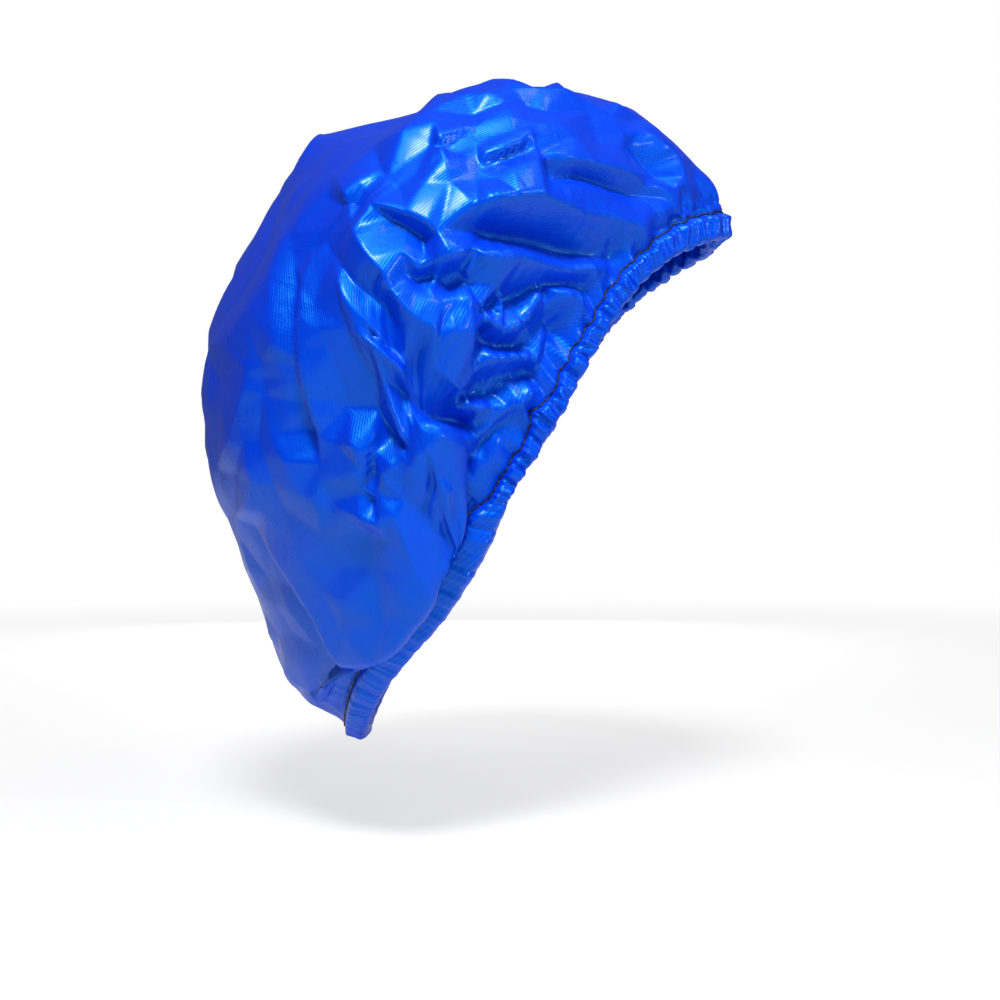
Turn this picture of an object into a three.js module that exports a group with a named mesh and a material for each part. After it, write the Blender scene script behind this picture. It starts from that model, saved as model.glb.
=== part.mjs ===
// A salon perm cap: a gathered disc of coated cloth whose turned edge carries an elastic band.
// Lengths are millimetres. The origin is the middle of the head opening, +X is the way the wearer
// faces, +Y is their left and +Z is up. Every piece is first laid out in the opening's own frame,
// X towards the forehead and Z towards the crown, and the whole cap is then tipped back as worn.
import * as THREE from "three";

// The head opening, measured along the row of stitches.
const openingLength = 256; // forehead to nape
const openingWidth = 160; // temple to temple
const openingTilt = 55.3; // degrees between the opening and the horizon
const templeArch = 21; // how far the edge climbs over each temple

// The crown, the loose bag above the stitches.
const crownDepth = 155; // opening to the top of the bag
const crownWidth = 214; // across the widest part, over the ears
const crownForward = 27; // the disc's centre, forward of the opening's middle
const foreheadBulge = 13; // how far the bag stands out over the forehead stitches
const napeBulge = 2.5; // how far it hangs out past the nape stitches

// Cloth, elastic and thread.
const clothThickness = 0.4;
const elasticWidth = 6.5;
const elasticThickness = 0.9;
const elasticLap = 20; // the elastic's ends lie over each other for this length
const threadDiameter = 0.5;
const casingRoom = 1.6; // loose cloth above and below the elastic
const seamAllowance = 3; // turned edge past the stitches, inside the crown
const clearance = 0.3; // between pieces that touch

// How the edge sits on the head and how it is gathered.
const casingLean = 14; // degrees the casing leans in at its lower edge
const foreheadLean = 38; // degrees more at the forehead
const stitchPucker = 0.5; // in and out wave of the row of stitches
const ruffleDepth = 1.6; // how far the casing's ruffles stand off the elastic
const rufflePairCount = 18; // ruffles, in pairs
const foldHeight = 6; // the tallest crests of the folds over each side, from the even bag
const foldReach = 9; // how far round it a crest or hollow carries the cloth
const gatherCount = 18; // small folds that run up from the stitches
const gatherDepth = 3;
const gatherPeak = 12; // distance above the stitches where the small folds are deepest
const gatherStray = 40; // degrees the small folds stray from even spacing, where a whole fold is 360
const dentDepth = 1.4; // soft hollows over the upper crown
const dentPitch = 62; // distance from one hollow to the next
const lipStart = 90; // degrees round from the forehead where the bag starts to fold over the edge
const lipEnd = 172; // and where the fold-over ends at the nape
const lipSag = 16; // how far the folded bag sinks at most

// Height of the stitches round each half of the edge. First number: degrees from the forehead.
// Second number: height above the opening's plane as a share of the temple arch.
const edgeHeightShares = [
  [0, 0.1], [15, 0.14], [30, 0.5], [43, 0.84], [56, 1.03], [70, 0.98], [84, 0.82], [97, 0.76],
  [106, 0.56], [119, 0.48], [131, 0.58], [144, 0.63], [160, 0.52], [180, 0.38],
];

// Outlines of the bag from the stitches to the disc's centre. First number: reach out from the
// disc's centre as a share of the whole reach. Second number: height as a share of the depth.
const foreheadOutlineShares = [
  [0.95, 0.05], [0.972, 0.126], [1, 0.267], [0.951, 0.493], [0.807, 0.671], [0.577, 0.806],
  [0.37, 0.958], [0.305, 1.002], [0.12, 1.006],
];
const napeOutlineShares = [
  [0.982, 0.05], [0.985, 0.1], [0.985, 0.16], [0.957, 0.235], [0.878, 0.35], [0.768, 0.51],
  [0.655, 0.7], [0.516, 0.842], [0.338, 0.941], [0.212, 0.984], [0.099, 0.995],
];
const sideOutlineShares = [
  [0.85, 0.15], [0.955, 0.29], [1, 0.45], [0.955, 0.62], [0.79, 0.78], [0.53, 0.9], [0.24, 0.98],
];
// Behind the ears the bag first rises beside the head, then folds out and down over the edge.
const foldedOutlineShares = [
  [0.75, 0.08], [0.79, 0.1], [0.84, 0.02], [0.885, -0.012], [0.935, 0.06], [0.985, 0.25],
  [1, 0.45], [0.945, 0.63], [0.78, 0.79], [0.53, 0.9], [0.24, 0.98],
];

// How far the folded bag sinks. First number: degrees from the forehead. Second number: share of
// the sag.
const lipSagShares = [
  [96, 0], [102, 0.03], [108, 0.2], [116, 0.4], [124, 0.75], [132, 0.95], [140, 0.9], [150, 0.65],
  [158, 0.45], [166, 0.25], [176, 0],
];
const lipSagHeightShares = [0.03, 0.1, 0.15, 0.4]; // up the bag: none, whole, still whole, none
const lipSpreadShare = 0.4; // how far it is pushed out, as a share of how far it sinks

// How much the casing is ruffled. First number: degrees from the forehead. Second number: share of
// the ruffles' depth. Behind the ears it is nearly smooth.
const ruffleShares = [[0, 0.7], [40, 1], [92, 1], [104, 0.3], [166, 0.3], [180, 0.6]];

// Main crests and hollows of the folds over each side. Each line is a run of places: degrees from
// the forehead, share of the way up the bag, and rise as a share of the tallest crest.
const foldLineShares = [
  [[70, 0.291, 0.9], [62, 0.23, 1], [58, 0.167, 0.9], [51, 0.081, 0.65], [43, 0.012, 0.3]],
  [[72, 0.265, -0.7], [67, 0.18, -1], [60, 0.09, -1], [54, 0.02, -0.5]],
  [[77, 0.233, 0.6], [70, 0.188, 0.65], [65, 0.1, 0.5], [56, 0.01, 0.3]],
  [[80, 0.16, -0.7], [72, 0.11, -0.7], [64, 0.043, -0.5]],
  [[75, 0.108, 0.5], [68, 0.07, 0.6], [63, 0.01, 0.4]],
  [[88, 0.12, -0.6], [81, 0.042, -0.6], [73, 0.04, -0.6], [69, 0.005, -0.4]],
  [[81, 0.299, 0.6], [75, 0.248, 0.5]],
  [[86, 0.325, -0.5], [82, 0.27, -0.65], [79, 0.225, -0.7]],
  [[84, 0.47, 0.4], [89, 0.36, 0.6], [90, 0.29, 0.65], [88, 0.231, 0.75], [81, 0.17, 0.5]],
  [[92, 0.2, 0.4], [91, 0.136, 0.5], [82, 0.107, 0.5], [79, 0.05, 0.3]],
  [[90, 0.051, 0.3], [84, 0.03, 0.55], [77, 0.006, 0.4]],
  [[95, 0.445, 0.4], [98, 0.39, 0.55], [98, 0.29, 0.4]],
  [[110, 0.33, -0.7], [102, 0.3, -0.7], [99, 0.22, -1], [94, 0.09, -0.8]],
  [[112, 0.284, 0.4], [105, 0.26, 0.65], [100, 0.19, 0.75], [96, 0.06, 0.6], [91, 0.003, 0.4]],
  [[119, 0.377, 0.4], [116, 0.34, 0.55], [121, 0.31, 0.4]],
  [[140, 0.49, 0.6], [131, 0.42, 0.45], [127, 0.33, 0.5], [120, 0.265, 0.65], [112, 0.25, 0.4]],
  [[115, 0.209, -0.5], [108, 0.18, -0.65]],
  [[84, 0.73, -0.3], [95, 0.59, -0.4], [112, 0.53, -0.4], [121, 0.447, -0.55], [124, 0.39, -0.45]],
  [[79, 0.44, -0.35], [79, 0.35, -0.5], [82, 0.31, -0.5]],
  [[52, 0.23, 0.4], [45, 0.16, 0.55], [39, 0.1, 0.4]],
  [[63, 0.285, 0.4], [55, 0.245, 0.5]],
  [[31, 0.19, -0.3], [30, 0.11, -0.6]],
  [[25, 0.17, 0.35], [24, 0.11, 0.45]],
  [[153, 0.345, -0.35], [147, 0.24, -0.55], [145, 0.1, -0.4]],
];

// Rows of the bag. First number: share of the way from the stitches to the disc's centre. Second
// number: share of the edge's sections that the row keeps.
const crownRowShares = [
  [0.045, 1], [0.095, 1], [0.15, 0.5], [0.205, 0.5], [0.26, 0.5], [0.32, 0.5], [0.38, 0.5],
  [0.46, 0.5], [0.55, 0.5], [0.66, 0.25], [0.78, 0.25], [0.9, 0.25],
];

const turn = 2 * Math.PI;
const radians = THREE.MathUtils.degToRad;
const smooth = (value) => THREE.MathUtils.smoothstep(value, 0, 1);
const casingWidth = elasticWidth + 2 * casingRoom;
const halfCloth = clothThickness / 2;
const pinchedOffset = clearance / 2 + halfCloth; // each layer's middle from the seam's middle
const tunnelOffset = elasticThickness / 2 + clearance + halfCloth; // each layer's middle from the elastic's
const threadRadius = threadDiameter / 2;
const halfLength = openingLength / 2;
const halfWidth = openingWidth / 2;

// The row of stitches.

const edgeHeights = new THREE.SplineCurve(
  edgeHeightShares.map(([degrees, share]) => new THREE.Vector2(radians(degrees), share * templeArch)),
);

// Degrees round from the forehead, the same on both sides of the head.
function angleFromForehead(angle) {
  return Math.acos(THREE.MathUtils.clamp(Math.cos(angle), -1, 1));
}

// The second number of a table at a place between two of its first numbers.
function shareAt(table, wanted) {
  const after = table.findIndex(([first]) => first >= wanted);
  if (after <= 0) return table.at(after).at(1);
  const [[from, low], [to, high]] = [table[after - 1], table[after]];
  return THREE.MathUtils.mapLinear(wanted, from, to, low, high);
}

function degreesFromForehead(angle) {
  return THREE.MathUtils.radToDeg(angleFromForehead(angle));
}

function hemHeight(angle) {
  const wanted = angleFromForehead(angle);
  const at = edgeHeights.points.findIndex((point) => point.x >= wanted);
  const last = edgeHeights.points.length - 1;
  if (at <= 0) return edgeHeights.points[at < 0 ? last : 0].y;
  const [before, after] = [edgeHeights.points[at - 1], edgeHeights.points[at]];
  const between = (wanted - before.x) / (after.x - before.x);
  return edgeHeights.getPoint((at - 1 + between) / last).y;
}

function stitchPoint(angle) {
  return new THREE.Vector3(halfLength * Math.cos(angle), halfWidth * Math.sin(angle), hemHeight(angle));
}

// One section of the edge: a point on the stitches, the way down the casing and the way out of it.
// Sections lie in turn on a ruffle's crest and in the dip beside it.
const hemStations = 4 * rufflePairCount;

function hemSection(index) {
  const angle = (index / hemStations) * turn;
  const step = turn / hemStations;
  const along = stitchPoint(angle + step).sub(stitchPoint(angle - step)).normalize();
  const level = along.clone().cross(new THREE.Vector3(0, 0, 1)).normalize();
  const up = level.clone().cross(along);
  const lean = radians(casingLean + foreheadLean * Math.max(0, Math.cos(angle)) ** 3);
  const down = up.clone().multiplyScalar(-Math.cos(lean)).addScaledVector(level, -Math.sin(lean));
  const out = level.clone().multiplyScalar(Math.cos(lean)).addScaledVector(up, -Math.sin(lean));
  const ruffled = shareAt(ruffleShares, degreesFromForehead(angle));
  const crest = index % 2 ? 0 : ruffled;
  return { point: stitchPoint(angle), down, out, crest, pucker: stitchPucker * (crest - ruffled / 2) };
}

const hemSections = Array.from({ length: hemStations }, (_, index) => hemSection(index));

function sectionAt(index) {
  return hemSections[THREE.MathUtils.euclideanModulo(index, hemStations)];
}

// A point at a place along the edge, some way down the casing and some way out of it. Between two
// sections it lies on the straight line that joins them.
function hemPoint(place, down, out) {
  const index = Math.floor(place);
  const [from, to] = [sectionAt(index), sectionAt(index + 1)].map((section) =>
    section.point.clone().addScaledVector(section.down, down).addScaledVector(section.out, out));
  return from.lerp(to, place - index);
}

function puckerAt(place) {
  const index = Math.floor(place);
  return THREE.MathUtils.lerp(sectionAt(index).pucker, sectionAt(index + 1).pucker, place - index);
}

// The elastic's lapped ends, at the nape. Places along the edge are counted in sections.

const backStation = hemStations / 2;
const stationLength = hemPoint(backStation + 1, 0, 0).distanceTo(hemPoint(backStation, 0, 0));
const halfLap = elasticLap / stationLength / 2;
const lapRamp = 2; // sections over which the outer end climbs onto the inner one
const lapRise = elasticThickness + clearance;
const lapCover = lapRise + threadDiameter + clearance;

function climbShare(fromBack) {
  return THREE.MathUtils.clamp((fromBack + halfLap + lapRamp) / lapRamp, 0, 1);
}

// The casing stands off over the lap from one section before the climb starts.
function coverShare(index) {
  const fromBack = Math.abs(index - backStation);
  return THREE.MathUtils.clamp((Math.ceil(halfLap) + lapRamp + 1 - fromBack) / lapRamp, 0, 1);
}

// Closed surfaces from rows of points.

function meshOf(name, points, triangles, look) {
  const geometry = new THREE.BufferGeometry().setFromPoints(points).setIndex(triangles.flat());
  geometry.computeVertexNormals();
  const mesh = new THREE.Mesh(geometry, new THREE.MeshStandardMaterial(look));
  mesh.name = name;
  return mesh;
}

// Joins one outline after another into a bar. A bar that runs all the way round has no ends.
function barThrough(outlines, runsRound) {
  const corners = outlines[0].length;
  const triangles = [];
  const lastJoin = runsRound ? outlines.length : outlines.length - 1;
  for (let row = 0; row < lastJoin; row++) {
    for (let corner = 0; corner < corners; corner++) {
      const here = row * corners;
      const next = ((row + 1) % outlines.length) * corners;
      const beside = (corner + 1) % corners;
      triangles.push([here + corner, here + beside, next + beside]);
      triangles.push([here + corner, next + beside, next + corner]);
    }
  }
  if (!runsRound) {
    const last = lastJoin * corners;
    for (let corner = 1; corner < corners - 1; corner++) {
      triangles.push([0, corner + 1, corner], [last, last + corner, last + corner + 1]);
    }
  }
  return { points: outlines.flat(), triangles };
}

// Casing: the cloth's edge turned up inside over the elastic.

// The turned cloth's middle line at one section, as pairs of distance down and distance out, from
// where the crown ends, round the fold at the bottom, and up inside to the raw edge.
function casingLine(index) {
  const { crest, pucker } = sectionAt(index);
  const outer = tunnelOffset + ruffleDepth * crest + lapCover * coverShare(index);
  const inner = -tunnelOffset - (ruffleDepth / 3) * (1 - crest);
  const elasticBottom = casingRoom + elasticWidth;
  return [
    [0, pinchedOffset + pucker],
    [casingRoom, outer],
    [elasticBottom, outer],
    [casingWidth + (ruffleDepth / 2) * crest, (outer + inner) / 3],
    [elasticBottom, inner],
    [casingRoom, inner],
    [0, -pinchedOffset + pucker],
    [-seamAllowance, -pinchedOffset + pucker],
  ].map(([down, out]) => new THREE.Vector2(down, out));
}

// Moves each point of a line sideways, so that the new line keeps its distance from the old one.
function besideLine(line, distance) {
  return line.map((point, at) => {
    const before = at > 0 ? point.clone().sub(line[at - 1]).normalize() : null;
    const after = at < line.length - 1 ? line[at + 1].clone().sub(point).normalize() : null;
    const way = (before ?? after).clone().add(after ?? before).normalize();
    const square = new THREE.Vector2(-way.y, way.x);
    const turned = before && after ? Math.sqrt((1 + before.dot(after)) / 2) : 1;
    return point.clone().addScaledVector(square, distance / turned);
  });
}

function hemCasing() {
  const outlines = hemSections.map((_, index) => {
    const line = casingLine(index);
    const loop = [...besideLine(line, halfCloth), ...besideLine(line, -halfCloth).reverse()];
    return loop.map((place) => hemPoint(index, place.x, place.y));
  });
  const { points, triangles } = barThrough(outlines, true);
  return meshOf("hem_casing", points, triangles, { color: 0x0a35c8, roughness: 0.3 });
}

// Elastic: one flat length, its ends lapped and sewn at the nape.

function elasticBand() {
  const outerBack = hemStations + backStation;
  const [first, last] = [backStation - halfLap, outerBack + halfLap];
  const places = [first, outerBack - halfLap - lapRamp, outerBack - halfLap, last];
  for (let index = Math.ceil(first); index < last; index++) {
    if (!places.includes(index)) places.push(index);
  }
  places.sort((one, other) => one - other);
  const [top, bottom] = [casingRoom, casingRoom + elasticWidth];
  const outlines = places.map((place) => {
    const middle = lapRise * climbShare(place - outerBack);
    const [inside, outside] = [middle - elasticThickness / 2, middle + elasticThickness / 2];
    const corners = [[top, outside], [bottom, outside], [bottom, inside], [top, inside]];
    return corners.map(([down, out]) => hemPoint(place, down, out));
  });
  const { points, triangles } = barThrough(outlines, false);
  return meshOf("elastic_band", points, triangles, { color: 0xf0efe8, roughness: 0.9 });
}

// Thread of a few sides that runs through points on the edge. Every other point is a needle hole,
// where the thread is drawn in.
const threadSides = 3;
const drawnInShare = 0.5;

function threadOutline(place, down, out, radius) {
  return Array.from({ length: threadSides }, (_, side) => {
    const angle = (side / threadSides) * turn;
    return hemPoint(place, down + radius * Math.sin(angle), out + radius * Math.cos(angle));
  });
}

function hemThread(name, side) {
  const reach = side * (pinchedOffset + halfCloth + clearance + threadRadius);
  const outlines = [];
  for (let half = 0; half < 2 * hemStations; half++) {
    const place = half / 2;
    const radius = half % 2 ? threadRadius : drawnInShare * threadRadius;
    outlines.push(threadOutline(place, -clearance / 2, reach + puckerAt(place), radius));
  }
  const { points, triangles } = barThrough(outlines, true);
  return meshOf(name, points, triangles, { color: 0x08080f, roughness: 0.7 });
}

// The zigzag that holds the elastic's ends together, on the face of the outer end.
const zigzagCount = 9;
const zigzagLengthShare = 0.8; // of the lap
const zigzagWidthShare = 0.5; // of the elastic

function elasticJoinStitch() {
  const across = (zigzagWidthShare / 2) * elasticWidth;
  const middle = casingRoom + elasticWidth / 2;
  const face = lapRise + elasticThickness / 2 + clearance + threadRadius;
  const outlines = Array.from({ length: zigzagCount }, (_, corner) => {
    const along = 2 * (corner / (zigzagCount - 1)) - 1;
    const place = backStation + zigzagLengthShare * halfLap * along;
    return threadOutline(place, middle + (corner % 2 ? across : -across), face, threadRadius);
  });
  const { points, triangles } = barThrough(outlines, false);
  return meshOf("elastic_join_stitch", points, triangles, { color: 0xe8e8e8, roughness: 0.8 });
}

// Crown: the bag of cloth above the stitches.

// A line up the bag's middle line: how far it lies from the opening's middle, and how high.
function outlineCurve(edge, centre, reach, shares) {
  const points = shares.map(([out, up]) => new THREE.Vector2(centre + out * reach, up * crownDepth));
  return new THREE.SplineCurve([
    new THREE.Vector2(edge, 0), ...points, new THREE.Vector2(centre, crownDepth),
  ]);
}

const foreheadReach = halfLength + foreheadBulge - crownForward;
const napeReach = -(halfLength + napeBulge + crownForward);
const foreheadCurve = outlineCurve(halfLength, crownForward, foreheadReach, foreheadOutlineShares);
const napeCurve = outlineCurve(-halfLength, crownForward, napeReach, napeOutlineShares);
const sideCurve = outlineCurve(halfWidth, 0, crownWidth / 2, sideOutlineShares);
const foldedCurve = outlineCurve(halfWidth, 0, crownWidth / 2, foldedOutlineShares);

// 1 along most of the stretch behind each ear where the bag folds over the edge, 0 elsewhere.
const lipSwell = 1.25;

function lipShare(angle) {
  const [start, end] = [radians(lipStart), radians(lipEnd)];
  const along = THREE.MathUtils.clamp((angleFromForehead(angle) - start) / (end - start), 0, 1);
  return smooth(Math.sin(along * Math.PI) * lipSwell);
}

// How far the folded bag sinks towards the stitches at a place.
function lipSink(angle, share) {
  const [start, whole, fade, end] = lipSagHeightShares;
  const grown = THREE.MathUtils.smoothstep(share, start, whole);
  const faded = THREE.MathUtils.smoothstep(share, fade, end);
  return lipSag * shareAt(lipSagShares, degreesFromForehead(angle)) * grown * (1 - faded);
}

// The bag without its folds: rings strung between the forehead outline, the nape outline and the
// outline over the ears. The rise of the edge over the temples dies out up the bag.
const edgeRiseShare = 0.8;

function smoothCrown(angle, share) {
  const [front, back] = [foreheadCurve.getPointAt(share), napeCurve.getPointAt(share)];
  const side = sideCurve.getPointAt(share).lerp(foldedCurve.getPointAt(share), lipShare(angle));
  const [cosine, sine] = [Math.cos(angle), Math.sin(angle)];
  const middleHeight = (front.y + back.y) / 2;
  const edgeRise = hemHeight(angle) * (1 - smooth(share / edgeRiseShare));
  const sink = lipSink(angle, share);
  const spread = lipSpreadShare * sink;
  const bow = ((front.y - back.y) / 2) * cosine + (side.y - middleHeight) * sine ** 2;
  return new THREE.Vector3(
    (front.x + back.x) / 2 + ((front.x - back.x) / 2 + spread) * cosine,
    (side.x + spread) * sine,
    edgeRise - sink + middleHeight + bow,
  );
}

const crownArc = foreheadCurve.getLength();

// The bag laid flat: how far round from the forehead a place lies, and how far up.
function flatPlace(degrees, share) {
  return new THREE.Vector2((radians(degrees) * crownWidth) / 2, share * crownArc);
}

const foldLines = foldLineShares.map((line) =>
  line.map(([degrees, share, rise]) => ({ place: flatPlace(degrees, share), rise })));

// How far a fold line lies from a place, and its rise where it comes nearest.
function nearestOnLine(line, place) {
  const spans = line.slice(1).map((end, at) => {
    const start = line[at];
    const way = end.place.clone().sub(start.place);
    const part = place.clone().sub(start.place).dot(way) / way.lengthSq();
    const share = THREE.MathUtils.clamp(part, 0, 1);
    const distance = start.place.clone().addScaledVector(way, share).distanceTo(place);
    return { distance, rise: start.rise + share * (end.rise - start.rise) };
  });
  return spans.reduce((best, span) => (span.distance < best.distance ? span : best));
}

// The far side has much the same folds as the near side, a little shifted and lower.
const evenShare = 0.3; // pull of the even bag against a fold line
const farShiftDegrees = 5;
const farStretchShare = 0.95;
const farRiseShare = 0.85;

function mainFoldRise(angle, share) {
  const degrees = degreesFromForehead(angle);
  const isFar = Math.sin(angle) > 0;
  const place = flatPlace(isFar ? farStretchShare * degrees + farShiftDegrees : degrees, share);
  const nearest = foldLines.map((line) => nearestOnLine(line, place));
  const pulls = nearest.map(({ distance }) => Math.exp(-((distance / foldReach) ** 2)));
  const total = pulls.reduce((sum, pull) => sum + pull, evenShare);
  const rise = nearest.reduce((sum, { rise: here }, at) => sum + here * pulls[at], 0) / total;
  return rise * foldHeight * (isFar ? farRiseShare : 1);
}

// How far the folds and hollows push the cloth out at a place on the bag.
const smallFoldShare = 0.4;
const dentStartShare = 0.5;
const lipCalmShare = 0.6; // of the small folds, lost where the bag hangs over
const foldPhase = 1; // radians

function foldRise(angle, share, place) {
  const distance = (share * crownArc) / gatherPeak;
  const stray = radians(gatherStray) * (Math.sin(3 * angle + foldPhase) + Math.sin(7 * angle) / 2);
  const mainGather = Math.cos(gatherCount * angle + stray);
  const smallFold = smallFoldShare * Math.cos((3 / 2) * gatherCount * angle - stray);
  const fade = distance * Math.exp(1 - distance) * (1 - lipCalmShare * lipShare(angle));
  const [x, y, z] = place.clone().multiplyScalar(turn / dentPitch).toArray();
  const dents = Math.sin(x + foldPhase) * Math.cos(y / 2) * Math.sin(z);
  const dentShare = smooth(share / dentStartShare);
  const gathers = (gatherDepth / 2) * fade * (mainGather + smallFold);
  return mainFoldRise(angle, share) + gathers + dentDepth * dentShare * dents;
}

const stepShare = 1e-3; // a short way along the bag, to find which way it faces

function crownRow(share, count) {
  return Array.from({ length: count }, (_, index) => {
    const angle = (index / count) * turn;
    const place = smoothCrown(angle, share);
    const round = smoothCrown(angle + stepShare, share).sub(place);
    const upward = smoothCrown(angle, share + stepShare).sub(place);
    const out = round.cross(upward).normalize();
    return place.addScaledVector(out, foldRise(angle, share, place));
  });
}

// The first two rows run up from the stitches, beside the turned edge.
const seamFlareShare = 0.3; // of the seam allowance

function seamRow(rise, flare) {
  return hemSections.map(({ pucker }, index) => hemPoint(index, -rise, pinchedOffset + pucker + flare));
}

// Triangles between two rows of one ring or of rings of which the upper has half as many points.
function joinRows(lower, upper) {
  const triangles = [];
  const skip = lower.count / upper.count;
  for (let at = 0; at < upper.count; at++) {
    const corners = Array.from({ length: skip + 1 }, (_, part) =>
      lower.first + ((at * skip + part) % lower.count));
    const [left, right] = [upper.first + at, upper.first + ((at + 1) % upper.count)];
    if (skip === 1) {
      triangles.push([corners[0], corners[1], right], [corners[0], right, left]);
    } else {
      triangles.push([corners[0], corners[1], left], [corners[1], right, left]);
      triangles.push([corners[1], corners[2], right]);
    }
  }
  return triangles;
}

function crownPanel() {
  const rows = [
    seamRow(clearance, 0),
    seamRow(clearance + seamAllowance, seamFlareShare * seamAllowance),
    ...crownRowShares.map(([share, kept]) => crownRow(share, hemStations * kept)),
  ];
  const starts = rows.map((_, at) => rows.slice(0, at).reduce((sum, row) => sum + row.length, 0));
  const rings = rows.map((row, at) => ({ first: starts[at], count: row.length }));
  const middle = [...rows.flat(), smoothCrown(0, 1)];
  const pole = middle.length - 1;
  const top = rings.at(-1);
  const triangles = rings.slice(1).flatMap((upper, at) => joinRows(rings[at], upper));
  for (let at = 0; at < top.count; at++) {
    triangles.push([top.first + at, top.first + ((at + 1) % top.count), pole]);
  }
  const sheet = new THREE.BufferGeometry().setFromPoints(middle).setIndex(triangles.flat());
  sheet.computeVertexNormals();
  const normals = sheet.getAttribute("normal");
  const shifted = (distance) => middle.map((point, at) =>
    point.clone().addScaledVector(new THREE.Vector3().fromBufferAttribute(normals, at), distance));
  const points = [...shifted(halfCloth), ...shifted(-halfCloth)];
  const inside = triangles.map(([a, b, c]) => [a + middle.length, c + middle.length, b + middle.length]);
  const rim = [];
  for (let at = 0; at < hemStations; at++) {
    const next = (at + 1) % hemStations;
    rim.push([at, at + middle.length, next + middle.length], [at, next + middle.length, next]);
  }
  const faces = [...triangles, ...inside, ...rim];
  return meshOf("crown_panel", points, faces, { color: 0x0a3fd8, roughness: 0.3 });
}

const cap = new THREE.Group();
const worn = new THREE.Group();
worn.rotation.y = -radians(openingTilt);
worn.add(
  crownPanel(),
  hemCasing(),
  elasticBand(),
  elasticJoinStitch(),
  hemThread("hem_needle_thread", 1),
  hemThread("hem_bobbin_thread", -1),
);
cap.add(worn);

export default cap;
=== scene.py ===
# Perm cap: a gathered disc of coated cloth, its edge turned over an elastic and sewn with black thread.
# Metres, in the CAD frame. Each piece is laid out in the opening's own frame, X towards its front
# and Z towards the top of the bag, and is then tipped back as worn.
import math
import bpy
import numpy as np
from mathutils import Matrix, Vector
from mathutils.geometry import delaunay_2d_cdt


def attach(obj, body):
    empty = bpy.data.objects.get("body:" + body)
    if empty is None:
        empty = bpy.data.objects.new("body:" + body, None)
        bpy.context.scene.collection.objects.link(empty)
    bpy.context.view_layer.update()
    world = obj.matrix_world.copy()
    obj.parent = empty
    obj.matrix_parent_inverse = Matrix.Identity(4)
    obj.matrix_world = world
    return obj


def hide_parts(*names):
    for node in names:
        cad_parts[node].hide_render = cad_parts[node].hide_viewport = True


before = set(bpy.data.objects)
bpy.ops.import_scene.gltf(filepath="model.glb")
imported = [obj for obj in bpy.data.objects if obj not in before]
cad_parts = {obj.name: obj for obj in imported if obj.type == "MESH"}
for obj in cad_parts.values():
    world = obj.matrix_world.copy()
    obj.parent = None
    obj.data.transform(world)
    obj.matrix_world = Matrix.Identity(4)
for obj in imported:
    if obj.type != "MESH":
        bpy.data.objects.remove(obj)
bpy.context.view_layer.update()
scene = bpy.context.scene
turn = 2 * math.pi

view = {"place": (-0.0176, -0.615, -0.0094), "lens": 54.0, "sensor": 36.0}


def makeCamera():
    data = bpy.data.cameras.new("studioCamera")
    data.lens, data.sensor_width = view["lens"], view["sensor"]
    data.clip_start, data.clip_end = 0.01, 50
    camera = bpy.data.objects.new("studioCamera", data)
    camera.location = view["place"]
    camera.rotation_euler = (math.radians(90), 0, 0)  # level, looking along +Y
    scene.collection.objects.link(camera)
    scene.camera = camera


makeCamera()
print("camera set")

# The bag's outlines, the same as the solid's.
opening = {"length": 0.256, "width": 0.160, "tilt": 55.3, "sideArch": 0.021}
bag = {
    "depth": 0.155, "width": 0.214, "forward": 0.027,  # forward: disc's centre ahead of the opening's middle
    "frontBulge": 0.013, "backBulge": 0.0025,
    "lipStart": 90, "lipEnd": 172, "lipSwell": 1.25,  # degrees where the bag folds over the edge
    "lipSag": 0.016, "lipSpread": 0.4,  # how far the folded bag sinks, and its push out as a share of that
    "edgeReach": 0.8,  # share of the way up over which the edge's own height fades
}
edgeHeightShares = [  # degrees from the front, height of the stitches as a share of the side arch
    (0, 0.1), (15, 0.14), (30, 0.5), (43, 0.84), (56, 1.03), (70, 0.98), (84, 0.82), (97, 0.76),
    (106, 0.56), (119, 0.48), (131, 0.58), (144, 0.63), (160, 0.52), (180, 0.38),
]
frontShares = [  # reach and height as shares
    (0.95, 0.05), (0.972, 0.126), (1, 0.267), (0.951, 0.493), (0.807, 0.671), (0.577, 0.806),
    (0.37, 0.958), (0.305, 1.002), (0.12, 1.006),
]
backShares = [
    (0.982, 0.05), (0.985, 0.1), (0.985, 0.16), (0.957, 0.235), (0.878, 0.35), (0.768, 0.51),
    (0.655, 0.7), (0.516, 0.842), (0.338, 0.941), (0.212, 0.984), (0.099, 0.995),
]
sideShares = [
    (0.85, 0.15), (0.955, 0.29), (1, 0.45), (0.955, 0.62), (0.79, 0.78), (0.53, 0.9), (0.24, 0.98),
]
foldedShares = [  # towards the back the bag rises from the edge, then folds out and down
    (0.75, 0.08), (0.79, 0.1), (0.84, 0.02), (0.885, -0.012), (0.935, 0.06), (0.985, 0.25), (1, 0.45),
    (0.945, 0.63), (0.78, 0.79), (0.53, 0.9), (0.24, 0.98),
]
lipSagShares = [  # degrees from the front, share of the sag
    (96, 0), (102, 0.03), (108, 0.2), (116, 0.4), (124, 0.75), (132, 0.95), (140, 0.9), (150, 0.65),
    (158, 0.45), (166, 0.25), (176, 0),
]
lipSagHeights = [0.03, 0.1, 0.15, 0.4]  # up the bag: none, whole, still whole, none
halfLength, halfWidth = opening["length"] / 2, opening["width"] / 2
tilt = math.radians(opening["tilt"])


def smooth(value):
    value = np.clip(value, 0, 1)
    return value * value * (3 - 2 * value)


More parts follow.
